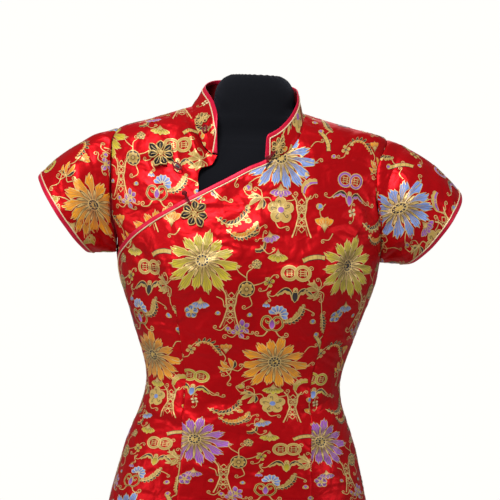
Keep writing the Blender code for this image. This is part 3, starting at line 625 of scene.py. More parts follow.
def orchid(thread):
    """Small orchid: three petals and two curls."""
    parts = []
    for a, size in ((100, 10.5), (35, 8.5), (-45, 9.5), (170, 8.0)):
        away = np.array((np.cos(np.radians(a)), np.sin(np.radians(a))))
        parts += edged(leaf(1.2 * away, size * away, 5.6, thread, count=7), 0.6)
    parts += raised([disc((0, 0), 2.0, GOLD), hoop((0, 0), 2.0, 0.6)], 1)
    return parts + [tendril([(0, 0), (-6, -6), (-13, -3)], 3.0, 1, 0.8),
                    tendril([(0, 0), (6, -7), (11, -8)], 2.0, 1, 0.8)]


def fan(thread):
    """Open fan of seven narrow petals."""
    parts = []
    for a in np.radians(np.linspace(0, 180, 7)):
        away = np.array((np.cos(a), np.sin(a)))
        parts += edged(leaf(1.5 * away, 11.5 * away, 5.4, thread, full=0.7, count=7), 0.55, PALE, 0.7)
    return parts


def cloud(thread=GOLD, eye=PURPLE):
    """Cloud scroll: two thick gilt curls that meet over a small coloured heart."""
    parts = []
    for side in (-1, 1):
        path = curled([(0, -8), (side * 6, -9), (side * 12, -3), (side * 11, 4)], 6.0, side, 1.0)
        parts += [ribbon(path, np.linspace(2.0, 4.6, len(path)) * np.linspace(1, 0.35, len(path)) ** 0.5,
                         thread, 0.7)]
        parts += raised([ribbon(path, 0.7, BLACK, 0.5)], 1)
        parts += [tendril([(side * 4, -9), (side * 9, -16), (side * 16, -17)], 3.2, side, 1.1)]
    return parts + raised(edged(leaf((0, 5), (0, -8), 6.5, eye), 0.7), 2)


def banner(thread=GOLD):
    """Short curved label, plain, with a dark edge and cross threads."""
    path = through([(-13, -1.5), (-5, 1.0), (5, 1.2), (13, -1.0)], 12)
    parts = [ribbon(path, 5.6, thread, 0.8)]
    parts += raised([ribbon(path + (0, 2.6), 0.6, BLACK, 0.8), ribbon(path - (0, 2.6), 0.6, BLACK, 0.8)], 1)
    ticks = path[1:-1:2]
    return parts + raised([ribbon(np.array((tick - (0, 2.2), tick + (0, 2.2))), 0.5, GILT,
                                  0.3) for tick in ticks], 1)


def bud(thread, size=3.2):
    """Round bud between two gilt sepals on a short curl."""
    parts = [disc((0, 0), size, thread), hoop((0, 0), size, 0.7)]
    parts += raised(edged(leaf((0, -size), (size * 1.1, size * 0.5), size * 0.8, GOLD, bow=-1, count=5), 0.4)
                    + edged(leaf((0, -size), (-size * 1.1, size * 0.5), size * 0.8, GOLD, bow=1, count=5),
                            0.4), 1)
    return parts


def acanthus(thread=GOLD, under=BLACK):
    """Spray of three long curved leaves and two short dark ones."""
    parts = []
    for tip, width, bow, colour in (((15, 6), 4.6, -3, thread), ((11, 14), 5.0, -2, thread),
                                    ((2, 16), 4.6, 2, thread),
                                    ((14, -3), 3.6, 2, under), ((-5, 12), 3.6, 2, under)):
        parts += edged(leaf((0, 0), tip, width, colour, bow=bow), 0.6)
    return parts + [tendril([(0, 0), (-7, -3), (-13, 2)], 3.0, -1, 0.9),
                    tendril([(0, 0), (4, -7), (10, -9)], 2.6, 1, 0.8)]


def horn(thread=GOLD, lining=PURPLE):
    """Curled horn of plenty: a toothed crescent with a coloured lining."""
    t = np.linspace(0, 1, 18)
    outer = through([(-10, -4), (-6, 4), (3, 7), (12, 4)], 18)
    inner = through([(-7, -6), (-3, -1), (4, 1.5), (11, 0)], 18)
    teeth = 1.6 * np.abs(np.sin(5 * np.pi * t))[:, None] * np.array((0.1, 1.0))
    parts = [(np.stack((outer + teeth, (outer + inner) / 2), 1), 1, thread, 0.7),
             (np.stack(((outer + inner) / 2, inner), 1), 1, lining, 0.6)]
    return parts + [ribbon(outer + teeth, 0.7), ribbon(inner, 0.7),
                    tendril([(-9, -5), (-8, -14), (-12, -22)], 3.4, -1, 1.1),
                    tendril([(-8, -12), (-2, -14), (3, -11)], 2.6, -1, 0.8)]


def sprig(thread=GOLD):
    """Small flower of four petals on a pair of curls."""
    parts = []
    for a in np.radians((20, 110, 200, 290)):
        away = np.array((np.cos(a), np.sin(a)))
        parts += edged(leaf(0.8 * away, 6.2 * away, 4.2, thread, full=0.62, count=6), 0.5)
    parts += raised([disc((0, 0), 1.4, BLACK)], 1)
    return parts + [tendril([(0, -3), (-3, -9), (-9, -11)], 2.4, -1, 0.8),
                    tendril([(0, 3), (4, 8), (8, 9)], 2.2, -1, 0.8)]


def woven(parts):
    """Parts joined into one set of arrays: points, quads, layer, thread and tone."""
    points, quads, layer, thread, tone = [], [], [], [], []
    first = 0
    for grid, height, colour, shade in parts:
        rows, columns = grid.shape[:2]
        points.append(grid.reshape(-1, 2))
        quads.append(grid_faces(rows, columns, first=first))
        count = rows * columns
        layer.append(np.full(count, height))
        thread.append(np.full(count, colour))
        tone.append(np.broadcast_to(shade, (rows, columns)).ravel())
        first += count
    return [np.concatenate(part) for part in (points, quads, layer, thread, tone)]


def first_row(main, second, small):
    """What stands round each blue or orange chrysanthemum."""
    curls = [([(-24, -26), (-33, -30), (-41, -36)], 2.6, 1), ([(26, -24), (32, -28), (37, -33)], 3.0, -1),
             ([(-30, -50), (-42, -52), (-48, -45)], 3.0, -1), ([(8, -58), (17, -56), (22, -50)], 3.2, 1),
             ([(-62, -18), (-56, -28), (-60, -38)], 3.2, 1), ([(-70, 14), (-64, 4), (-66, -4)], 2.6, 1),
             ([(40, 16), (47, 24), (56, 24)], 2.8, 1), ([(33, -4), (44, -6), (52, 0)], 3.0, -1),
             ([(-92, -44), (-78, -56), (-66, -62)], 3.0, 1), ([(60, -60), (52, -70), (56, -82)], 3.4, 1),
             ([(-8, -84), (-2, -92), (8, -90)], 3.0, -1), ([(70, 44), (62, 36), (64, 26)], 2.8, 1)]
    spot = turned_over
    return (chrysanthemum(main) + spot(lotus(second), shift=(0, -40)) + spot(bud(second), shift=(-42, -42))
            + spot(acanthus(), 160, shift=(-24, -55)) + spot(blossom(GOLD, small), shift=(0, -70))
            + spot(trellis(), shift=(27.5, -76)) + spot(horn(GOLD, second), 20, shift=(37, -38))
            + spot(acanthus(ORANGE, BLACK), 10, mirror=True, shift=(-55, -14))
            + plume([(-104, 20), (-96, 27), (-84, 26), (-76, 17), (-70, 8)], 9, BLACK, ORANGE, 7.5)
            + spot(lotus(ORANGE, 3, up=True), 0, scale=0.8, shift=(-64, 14))
            + spot(winged(second, small), -8, shift=(94, -52)) + spot(coins(second), -6, shift=(97, -28))
            + plume([(-84, -82), (-70, -90), (-56, -88), (-44, -76), (-42, -66)], 11, BLACK, GOLD, 8.5)
            + spot(sprig(), shift=(90, 14)) + spot(sprig(PALE), 40, scale=0.9, shift=(-102, -70))
            + spot(banner(), -72, shift=(61, 26)) + spot(bud(small, 2.6), 30, shift=(55, 42))
            + spot(orchid(PURPLE), shift=(-50, 42)) + spot(bud(second, 2.4), shift=(72, 4))
            + spot(lotus(small), 15, scale=0.95, shift=(-14, -100)) + spot(horn(BLACK, GOLD), 150,
                                                                           scale=0.7, shift=(-36, -99))
            + [tendril(points, curl, hand) for points, curl, hand in curls])


def second_row(main, second, small):
    """What stands round each olive or purple chrysanthemum."""
    curls = [([(-27, -22), (-38, -25), (-46, -32)], 2.4, -1), ([(-44, -40), (-42, -52), (-40, -64)], 3.0, 1),
             ([(58, -26), (58, -14), (64, -8)], 3.2, 1), ([(57, -20), (48, -14), (44, -8)], 2.8, -1),
             ([(66, -30), (76, -27), (84, -22)], 2.0, 1), ([(62, -44), (66, -56), (58, -62)], 3.2, -1),
             ([(90, -36), (86, -42), (90, -48)], 2.2, -1), ([(20, -46), (28, -50), (30, -58)], 2.4, 1),
             ([(-60, -26), (-66, -12), (-62, -4)], 3.2, -1), ([(74, 22), (84, 12), (92, 16)], 2.4, 1),
             ([(36, -84), (28, -92), (20, -90)], 2.8, -1), ([(-30, 40), (-36, 32), (-44, 32)], 2.6, 1),
             ([(128, -56), (140, -60), (148, -64)], 2.4, -1)]
    spot = turned_over
    return (chrysanthemum(main) + spot(lotus(small), scale=0.95,
                                       shift=(0, -52)) + spot(acanthus(GOLD, GOLD), 130, shift=(-48, -34))
            + spot(blossom(small, GOLD, 4.6), shift=(-11.5, -68)) + spot(bud(small, 2.8), shift=(-52, -76))
            + plume([(-41, -64), (-38, -74), (-36, -86), (-30, -96)], 9, BLACK, GOLD, 7.5)
            + spot(trellis(), shift=(39, -61)) + spot(rosette(GOLD, BLACK, 9.0), shift=(58, -35))
            + spot(blossom(GOLD, BLACK, 3.0), shift=(70, -2)) + spot(sprig(OLIVE), shift=(87, -25))
            + spot(coins(GOLD), shift=(121, -12)) + spot(banner(), 8, shift=(-56, 8))
            + spot(winged(GOLD, second), shift=(-79, -40)) + spot(lotus(OLIVE), scale=1.05, shift=(97, 14))
            + spot(horn(BLACK, GOLD), 200, scale=0.75, shift=(75, 20))
            + plume([(30, 40), (42, 32), (54, 32), (66, 40), (70, 50)], 12, ORANGE, BLACK, 8.5)
            + spot(lotus(ORANGE, 4, up=True), scale=1.05,
                   shift=(-42, 46)) + spot(bud(ORANGE, 2.6), shift=(58, 52))
            + spot(orchid(PURPLE), shift=(56, -88)) + spot(bud(PURPLE, 2.6), shift=(37, -90))
            + spot(cloud(), shift=(94, -80)) + spot(fan(BLUE), -20, shift=(101, -68))
            + plume([(108, -78), (120, -76), (130, -66), (134, -54)], 9, GOLD, BLACK, 9.0)
            + spot(bud(BLUE, 3.6), -40, shift=(-48, -201)) + spot(bud(small, 2.2), shift=(23, -68))
            + spot(bud(BLUE, 2.2), shift=(64, -70)) + spot(lotus(small, 3), scale=0.6, shift=(85, -52))
            + [tendril(points, curl, hand) for points, curl, hand in curls])


ROW_HEIGHT = 0.137
REPEAT = 0.200
FIGURES = [woven(first_row(BLUE, PURPLE, PURPLE)), woven(second_row(OLIVE, BLACK, BLUE)),
           woven(first_row(ORANGE, OLIVE, BLUE)), woven(second_row(PURPLE, OLIVE, PURPLE))]


# Laying cloth -------------------------------------------------------------------------------
# Each cloth piece is a closed thin wall about a grid: the figured face outside, the plain reverse
# inside. Its cloth coordinates are those of the flat cut, in metres, and the figures follow them.

def chords(p):
    """Sum of the chord lengths along the first axis."""
    return np.linalg.norm(np.diff(p, axis=0), axis=-1).sum(0)


CHEST = 1.270


def flat_of(p, facing):
    """Cloth coordinates on the front or back: u is the level arc from the centre line, v the height
    less the chest's, and over the chest the length up the column."""
    x, z = p[..., 0], p[..., 2]
    level = np.minimum(z, CHEST)
    step = np.linspace(0, 1, 41).reshape(-1, *([1] * x.ndim))
    turn = np.arcsin(np.clip(np.abs(x) / reach_of(x, level), 0, 1) ** (SQUARE / 2))
    arc = chords(on_body(np.sign(x) * reach_of(x, level) * np.sin(turn * step) ** (2 / SQUARE), level[None],
                         facing))
    up = chords(on_body(x[None], level + (z - level) * (1 - (1 - step) ** 2), facing))
    return np.stack((-facing * np.sign(x) * arc, level - CHEST + up), -1)


def between(grid, r, c):
    """Grid values at rows and columns that may lie between its own."""
    rows, columns = grid.shape[:2]
    i = np.clip(np.floor(r).astype(int), 0, rows - 2)
    j = np.clip(np.floor(c).astype(int), 0, columns - 2)
    a, b = (r - i)[..., None], (c - j)[..., None]
    return ((1 - a) * ((1 - b) * grid[i, j] + b * grid[i, j + 1])
            + a * ((1 - b) * grid[i + 1, j] + b * grid[i + 1, j + 1]))


def find_in(flat, spots):
    """Row and column of spots given in cloth coordinates: a coarse map of the nearest cell, then
    Newton's method. Spots more than two cells outside come back as not found."""
    wide = np.pad(flat, ((2, 2), (2, 2), (0, 0)), mode="reflect", reflect_type="odd")
    rows, columns = wide.shape[:2]
    r, c = np.meshgrid(np.arange(0, rows - 1, 0.2), np.arange(0, columns - 1, 0.2), indexing="ij")
    near = between(wide, r, c)
    low = near.min((0, 1))
    cell = 0.0016
    size = ((near.max((0, 1)) - low) / cell).astype(int) + 2
    seen = np.full((size[0], size[1], 2), np.nan)
    slot = ((near - low) / cell).astype(int)
    seen[slot[..., 0], slot[..., 1]] = np.stack((r, c), -1)
    slot = ((spots - low) / cell).astype(int)
    inside = np.all((spots > low) & (slot < size), axis=-1)
    slot = np.where(inside[:, None], slot, 0)
    at = seen[slot[:, 0], slot[:, 1]]
    found = inside & ~np.isnan(at[:, 0])
    at = np.where(found[:, None], at, 2.5)
    for _ in range(4):
        here = between(wide, at[:, 0], at[:, 1])
        i = np.clip(at[:, 0].astype(int), 0, rows - 2)
        j = np.clip(at[:, 1].astype(int), 0, columns - 2)
        down, over = wide[i + 1, j] - wide[i, j], wide[i, j + 1] - wide[i, j]
        det = down[:, 0] * over[:, 1] - down[:, 1] * over[:, 0]
        det = np.where(np.abs(det) < 1e-12, 1e-12, det)
        miss = spots - here
        step = np.stack((miss[:, 0] * over[:, 1] - miss[:, 1] * over[:, 0],
                         down[:, 0] * miss[:, 1] - down[:, 1] * miss[:, 0]), -1) / det[:, None]
        at = np.clip(at + np.clip(step, -1, 1), 0, (rows - 1.001, columns - 1.001))
    return at - 2, found


def grid_normals(grid, outer):
    """Unit normals of a grid of points, on the same side as the rough normals given."""
    n = unit(np.cross(np.gradient(grid, axis=1), np.gradient(grid, axis=0)))
    return n * np.sign((n * outer).sum(-1, keepdims=True))


def rim_dip(grid, edges, depth=0.0006, width=0.0018):
    """Height lost near the named edges, where the cloth turns under into its seam."""
    over = np.concatenate((np.zeros_like(grid[:, :1, 0]),
                           np.cumsum(np.linalg.norm(np.diff(grid, axis=1), axis=-1), 1)), 1)
    up = np.concatenate((np.zeros_like(grid[:1, :, 0]),
                         np.cumsum(np.linalg.norm(np.diff(grid, axis=0), axis=-1), 0)))
    away = {"left": over, "right": over[:, -1:] - over, "low": up, "high": up[-1:] - up}
    return -depth * np.exp(-(np.min([away[edge] for edge in edges], 0) / width) ** 2)


def cloth(name, grid, rough, flat, thick=WALL, ring=False):
    """Closed wall about a grid, face outside and reverse inside; in a ring the last column meets the
    first. Returns the piece, its outer grid and its normals."""
    normal = grid_normals(grid, rough)
    if ring:
        normal[:, 0] = normal[:, -1] = unit(normal[:, 0] + normal[:, -1])
    outer, inner = grid + normal * thick / 2, grid - normal * thick / 2
    rows, columns = grid.shape[:2]
    face = grid_faces(rows, columns)
    number = np.arange(rows * columns).reshape(rows, columns)
    edge = [number[0],
            number[-1, ::-1]] if ring else [np.concatenate((number[0], number[1:, -1], number[-1, -2::-1],
                                                                       number[-2::-1, 0]))]
    below = rows * columns
    rim_faces = [np.stack((run[1:], run[:-1], run[:-1] + below, run[1:] + below), -1) for run in edge]
    faces = np.concatenate([face, face[:, ::-1] + below] + rim_faces)
    points = np.concatenate((outer.reshape(-1, 3), inner.reshape(-1, 3)))
    a, b, c = (points[faces[0, k]] for k in (0, 1, 3))
    if np.dot(np.cross(b - a, c - a), normal[0, 0]) < 0:
        faces = faces[:, ::-1]
    piece = finish_mesh(name, points, faces, (BROCADE, REVERSE))
    piece.data.polygons.foreach_set("material_index", (np.arange(len(faces)) >= len(face)).astype(np.int32))
    layer = piece.data.uv_layers.new(name="cloth")
    both = np.concatenate((flat.reshape(-1, 2), flat.reshape(-1, 2)))
    layer.data.foreach_set("uv", both[faces.ravel()].astype(np.float32).ravel())
    if ring:
        work = bmesh.new()
        work.from_mesh(piece.data)
        bmesh.ops.remove_doubles(work, verts=work.verts, dist=2e-6)
        work.to_mesh(piece.data)
        work.free()
    piece.data.set_sharp_from_angle(angle=np.radians(60))
    return piece, outer, normal


def flat_size(flat):
    """Width, length and area of the cut between the extremes of its cloth coordinates."""
    width, length = np.ptp(flat.reshape(-1, 2), axis=0)
    a = flat[1:, 1:] - flat[:-1, :-1]
    b = flat[1:, :-1] - flat[:-1, 1:]
    area = np.abs(a[..., 0] * b[..., 1] - a[..., 1] * b[..., 0]).sum() / 2
    return (float(width), float(length)), float(min(area, width * length))


SETTLE = np.array((
    # height as woven  height as laid: the rows are set nearer together low down, with no
    # slack in the cloth to account for it
    (-1.4000, -1.1070),
    (-0.4740, -0.4030),
    (-0.3370, -0.2990),
    (-0.2000, -0.1950),
    (-0.0630, -0.0670),
    (0.0745, 0.0750),
    (0.6000, 0.6000),
))


def figures(name, outer, normal, flat, phase, uncut=None):
    """Every repeat of the figures that touches a piece, laid on its outer grid: coloured floss and
    gilt apart. The cloth's phase says where a blue chrysanthemum would be, and uncut moves the
    figures for the cloth taken into darts."""
    low, high = flat.min((0, 1)) - 0.06, flat.max((0, 1)) + 0.06
    rows = np.arange(np.floor((phase[1] - high[1]) / ROW_HEIGHT) - 1,
                     np.ceil((phase[1] - low[1]) / ROW_HEIGHT) + 3)
    sets = [[], [], [], [], []]
    first = 0
    for row in rows.astype(int):
        spots, quads, layer, thread, tone = FIGURES[row % 4]
        start = phase[0] + (row % 2) * REPEAT / 2
        for column in np.arange(np.floor((low[0] - start) / REPEAT) - 1,
                                np.ceil((high[0] - start) / REPEAT) + 2):
            at = spots / 1000 + (start + column * REPEAT, phase[1] - row * ROW_HEIGHT)
            at = uncut(at) if uncut else at
            inside = np.all((at > low + 0.03) & (at < high - 0.03), axis=1)
            keep = inside[quads].all(1)
            if keep.any():
                used = np.unique(quads[keep])
                new = np.zeros(len(spots), int)
                new[used] = np.arange(len(used)) + first
                for into, what in zip(sets,
                                      (at[used], new[quads[keep]], layer[used], thread[used], tone[used])):
                    into.append(what)
                first += len(used)
    spots, quads, height, thread, tone = (np.concatenate(part) for part in sets)
    place, found = find_in(flat, spots)
    rows, columns = flat.shape[:2]
    free = np.all((place >= 0) & (place <= (rows - 1, columns - 1)), axis=1) & found
    keep = found[quads].all(1) & free[quads].any(1)
    place = np.clip(place, 0, (rows - 1, columns - 1))
    points = between(outer, place[:, 0], place[:, 1])
    out = unit(between(normal, place[:, 0], place[:, 1]))
    points = points + out * (0.00022 + 0.00011 * height[:, None])
    a, b = points[quads[:, 2]] - points[quads[:, 0]], points[quads[:, 3]] - points[quads[:, 1]]
    across = np.cross(a, b)
    keep &= np.linalg.norm(across, axis=1) > 4e-9
    quads = np.where(((across * out[quads[:, 0]]).sum(1) < 0)[:, None], quads[:, ::-1], quads)[keep]
    gilt = (thread == GILT)[quads[:, 0]]
    pieces = []
    for word, these, made in (("floss", quads[~gilt], FLOSS), ("gilt", quads[gilt], GILT_THREAD)):
        used, new = np.unique(these, return_inverse=True)
        piece = finish_mesh(name + "_" + word, points[used], new.reshape(these.shape), made)
        part = np.clip(tone[used], 0, 1)[:, None]
        shade = THREADS[thread[used], 0] * (1 - part) + THREADS[thread[used], 1] * part
        colour = piece.data.color_attributes.new("thread", "FLOAT_COLOR", "POINT")
        colour.data.foreach_set("color",
                                np.concatenate((shade, np.ones_like(part)), 1).astype(np.float32).ravel())
        layer = piece.data.uv_layers.new(name="cloth")
        layer.data.foreach_set("uv", spots[these.ravel()].astype(np.float32).ravel())
        pieces.append(piece)
    return pieces


def pucker(made, place, strength=0.9):
    """Bump of soft unevenness a centimetre or two across, which satin shows in its gloss, over long
    shallow drag lines that run across the body and lean a little."""
    lie = node(made, "ShaderNodeMapping")
    lie.inputs["Scale"].default_value = (14, 32, 1)
    lie.inputs["Rotation"].default_value = (0, 0, 0.30)
    drag = node(made, "ShaderNodeTexNoise", Scale=1.0, Detail=1.0, Distortion=0.8)
    link(made, place, "UV", lie, "Vector")
    link(made, lie, "Vector", drag, "Vector")
    lines = node(made, "ShaderNodeBump", Strength=strength, Distance=0.0070)
    link(made, drag, "Fac", lines, "Height")
    soft = node(made, "ShaderNodeTexNoise", Scale=48.0, Detail=1.5, Distortion=0.6)
    link(made, place, "UV", soft, "Vector")
    bump = node(made, "ShaderNodeBump", Strength=strength, Distance=0.0030)
    link(made, lines, "Normal", bump, "Normal")
    link(made, soft, "Fac", bump, "Height")
    return bump


def satin_ground(name, colour, roughness, sheen, weave=0.30):
    """Warp satin: a smooth sheen and floats of silk seen as a fine bump of broken lines, with a slow
    unevenness in the gloss."""
    made = shader(name, colour, roughness, Metallic=0.42, Sheen_Weight=sheen, Sheen_Roughness=0.35,
                  Specular_IOR_Level=0.30)
    surface = made.node_tree.nodes["Principled BSDF"]
    surface.inputs["Sheen Tint"].default_value = (1.0, 0.10, 0.16, 1)
    surface.inputs["Specular Tint"].default_value = (1.0, 0.22, 0.30, 1)
    place = node(made, "ShaderNodeUVMap", uv_map="cloth")
    floats = node(made, "ShaderNodeMapping")
    floats.inputs["Scale"].default_value = (2600, 700, 1)
    grain = node(made, "ShaderNodeTexNoise", Scale=1.0, Detail=1.0)
    link(made, place, "UV", floats, "Vector")
    link(made, floats, "Vector", grain, "Vector")
    bumpy(made, grain, "Fac", weave, 0.0002, pucker(made, place))
    slow = node(made, "ShaderNodeTexNoise", Scale=38.0, Detail=3.0)
    gloss = node(made, "ShaderNodeMapRange", To_Min=roughness - 0.05, To_Max=roughness + 0.07)
    link(made, place, "UV", slow, "Vector")
    link(made, slow, "Fac", gloss, "Value")
    link(made, gloss, "Result", surface, "Roughness")
    return made


def floss_silk(name, roughness, metallic, grain_size):
    """Coloured silk or gilt threads, their colour from the piece's own attribute; the threads lie
    side by side as a fine bump."""
    made = shader(name, (0.5, 0.4, 0.2), roughness, Metallic=metallic, Sheen_Weight=0.15)
    surface = made.node_tree.nodes["Principled BSDF"]
    paint = node(made, "ShaderNodeAttribute", attribute_name="thread")
    link(made, paint, "Color", surface, "Base Color")
    place = node(made, "ShaderNodeUVMap", uv_map="cloth")
    lay = node(made, "ShaderNodeMapping")
    lay.inputs["Scale"].default_value = grain_size
    grain = node(made, "ShaderNodeTexNoise", Scale=1.0, Detail=1.5)
    link(made, place, "UV", lay, "Vector")
    link(made, lay, "Vector", grain, "Vector")
    bumpy(made, grain, "Fac", 0.5, 0.0003, pucker(made, place))
    return made


BROCADE = satin_ground("scarlet_satin_ground", (0.56, 0.005, 0.008), 0.36, 0.06)
REVERSE = satin_ground("brocade_reverse", (0.24, 0.010, 0.012), 0.62, 0.03)
FLOSS = floss_silk("coloured_floss", 0.45, 0.0, (1800, 500, 1))
GILT_THREAD = floss_silk("gilt_thread", 0.38, 0.30, (1400, 900, 1))


# Dress panels -------------------------------------------------------------------------------
# Unlined cheongsam cut to the body: the front crosses over from the right neck to the left side, a
# small under-panel fills the left chest, and the back is in one piece. All are seamed right side in.

NECK_POINT_LEFT = (0.0830, 1.4060)
NECK_POINT_RIGHT = (0.0630, 1.4030)
NECK_END_LEFT = (-0.0520, 1.3410)
NECK_END_RIGHT = (0.0100, 1.3380)
NECK_BACK_DIP = 0.0060
ARMHOLE_FRONT = {-1: 0.040, 1: 0.052}
ARMHOLE_BACK = 0.055
CLOSURE = np.array((
    # share  turn    height
    (0.00, 92.6, 1.3380),
    (0.18, 79.5, 1.3090),
    (0.36, 67.5, 1.2860),
    (0.60, 45.8, 1.2520),
    (0.78, 23.5, 1.2240),
    (0.87, 9.0, 1.2070),
    (0.93, 3.0, 1.1900),
    (1.00, 1.0, 1.1670),
))
FRONT_DARTS = np.array((
    # height  x from the centre  cloth taken in
    (0.8600, 0.0900, 0.000),
    (0.9000, 0.0880, 0.012),
    (0.9460, 0.0850, 0.026),
    (0.9950, 0.0840, 0.034),
    (1.0400, 0.0820, 0.036),
    (1.0900, 0.0900, 0.024),
    (1.1350, 0.0985, 0.006),
    (1.1450, 0.1000, 0.000),
))
BACK_DARTS = FRONT_DARTS * (1, 0.86, 0.9)


def side_turn(z, facing, side):
    """Turn at which a panel ends along a side seam, or along its slit edge."""
    slack = np.clip((SLIT_TOP - z) / (SLIT_TOP - HEM), 0, 1) ** 1.5 * SLIT_SPREAD
    off = np.arcsin(((GAP / 2 + slack) / smooth(z, SECTIONS, 3 if facing < 0 else 4)) ** (SQUARE / 2))
    start = {(-1, -1): off, (-1, 1): np.pi - off, (1, 1): np.pi + off, (1, -1): 2 * np.pi - off}
    return start[(facing, side)]


def armhole(turn, side):
    """Ring of an armhole: turn 0 is the shoulder tip, a quarter is the front, a half the underarm."""
    z = (SHOULDER_TIP + UNDERARM) / 2 + (SHOULDER_TIP - UNDERARM) / 2 * np.cos(turn)
    s = np.sin(turn)
    y = -s * np.where(s > 0, ARMHOLE_FRONT[side], ARMHOLE_BACK)
    depth = np.where(s > 0, smooth(z, SECTIONS, 3), smooth(z, SECTIONS, 4))
    x = side * reach_of(side, z) * (1 - (np.abs(y) / depth) ** SQUARE) ** (1 / SQUARE)
    return np.stack((x, y, z), -1)


def armhole_edge(facing, side, rows, start=YOKE):
    """Side seam from a height to the underarm, then the armhole up to the shoulder tip."""
    seam = around(side_turn(np.linspace(start, UNDERARM, 12), facing, side), np.linspace(start, UNDERARM, 12))
    ring = armhole(-facing * np.linspace(np.pi, 0, 240)[1:], side)
    ring[-1, 1] = facing * GAP / 2
    return spread(np.concatenate((seam, ring)), rows)


def shoulder(facing, side):
    """Shoulder seam from the tip to the neck point."""
    reach, top = NECK_POINT_LEFT if side < 0 else NECK_POINT_RIGHT
    z = np.linspace(SHOULDER_TIP, top - GAP, 60)
    return np.stack((side * reach_of(side, z), np.full(60, facing * GAP / 2), z), -1)


def neck_front(side):
    """Front neckline from the neck point to the collar's end: a quarter of an ellipse."""
    (reach, top), (end_x, end_z) = ((NECK_POINT_LEFT, NECK_END_LEFT) if side < 0
                                    else (NECK_POINT_RIGHT, NECK_END_RIGHT))
    turn = np.linspace(0, 1, 60) ** 1.6 * np.pi / 2
    return on_body(end_x + (side * reach - end_x) * np.cos(turn), top - (top - end_z) * np.sin(turn), -1)


def neck_back():
    """Back neckline from the left neck point to the right one, dipping by a sine in the middle."""
    turn = np.linspace(0, np.pi, 80)
    share = (1 - np.cos(turn)) / 2
    x = -NECK_POINT_LEFT[0] + share * (NECK_POINT_LEFT[0] + NECK_POINT_RIGHT[0])
    return on_body(x, NECK_POINT_LEFT[1] + share * (NECK_POINT_RIGHT[1] - NECK_POINT_LEFT[1])
                   - NECK_BACK_DIP * np.sin(turn), 1)


def neckline(path, facing):
    """A panel's own neckline, clear of the collar and of the other panel at a shoulder seam."""
    edge = beside(path, -1.2 * GAP)
    edge[np.abs(edge[:, 1]) < 0.001, 1] = facing * GAP / 2
    return edge


def patch(bottom, top, left, right, facing, bias):
    """Coons patch between four edges in x and height, laid on the body; rows close up towards the
    top by the power bias, because the cloth turns back over the shoulder there."""
    across = np.linspace(0, 1, len(bottom))[None, :, None]
    up = (1 - (1 - np.linspace(0, 1, len(left))) ** bias)[:, None, None]
    grid = ((1 - up) * bottom[None] + up * top[None] + (1 - across) * left[:, None] + across * right[:, None]
            - (1 - up) * ((1 - across) * bottom[0] + across * bottom[-1])
            - up * ((1 - across) * top[0] + across * top[-1]))
    laid = on_body(grid[..., 0], grid[..., 2], facing)
    laid[0], laid[-1], laid[:, 0], laid[:, -1] = bottom, top, left, right
    return laid


def closer(count, ends=(True, True)):
    """Even shares from 0 to 1, with three more close to each end that is seamed."""
    even = np.linspace(0, 1, count + 1)
    near = np.array((0.18, 0.42, 0.70)) / count
    return np.unique(np.concatenate((even, near if ends[0] else even[:1], 1 - near if ends[1] else even[:1])))


def level_rows(z, facing, darts, counts, ends=(None, None)):
    """Turns of the columns of level rows: even between the side seams and the two darts, and close
    together at each dart's stitching."""
    x = smooth(z, darts, 1)
    first, last = (side_turn(z, facing, side) for side in ((-1, 1) if facing < 0 else (1, -1)))
    first = first if ends[0] is None else ends[0]
    left, right = (np.arccos(np.clip((x / reach_of(side, z)) ** (SQUARE / 2), 0, 1)) for side in (-1, 1))
    stitch = np.array((-3.0, -1.4, -0.7, -0.3, 0.0, 0.3, 0.7, 1.4,
                       3.0)) / 1000 / smooth(z, SECTIONS, 1)[:, None]
    start, end = (left, np.pi - right) if facing < 0 else (np.pi + right, 2 * np.pi - left)
    runs = []
    for a, b, share in ((first, start + stitch[:, 0], closer(counts[0], (True, False))[:-1]),
                        (start + stitch[:, -1], end + stitch[:, 0], np.linspace(0, 1, counts[1] + 1)[1:-1]),
                        (end + stitch[:, -1], last, closer(counts[2], (False, True))[1:])):
        runs.append(a[:, None] + (b - a)[:, None] * share[None])
    return np.concatenate((runs[0], start[:, None] + stitch, runs[1], end[:, None] + stitch, runs[2]), 1)


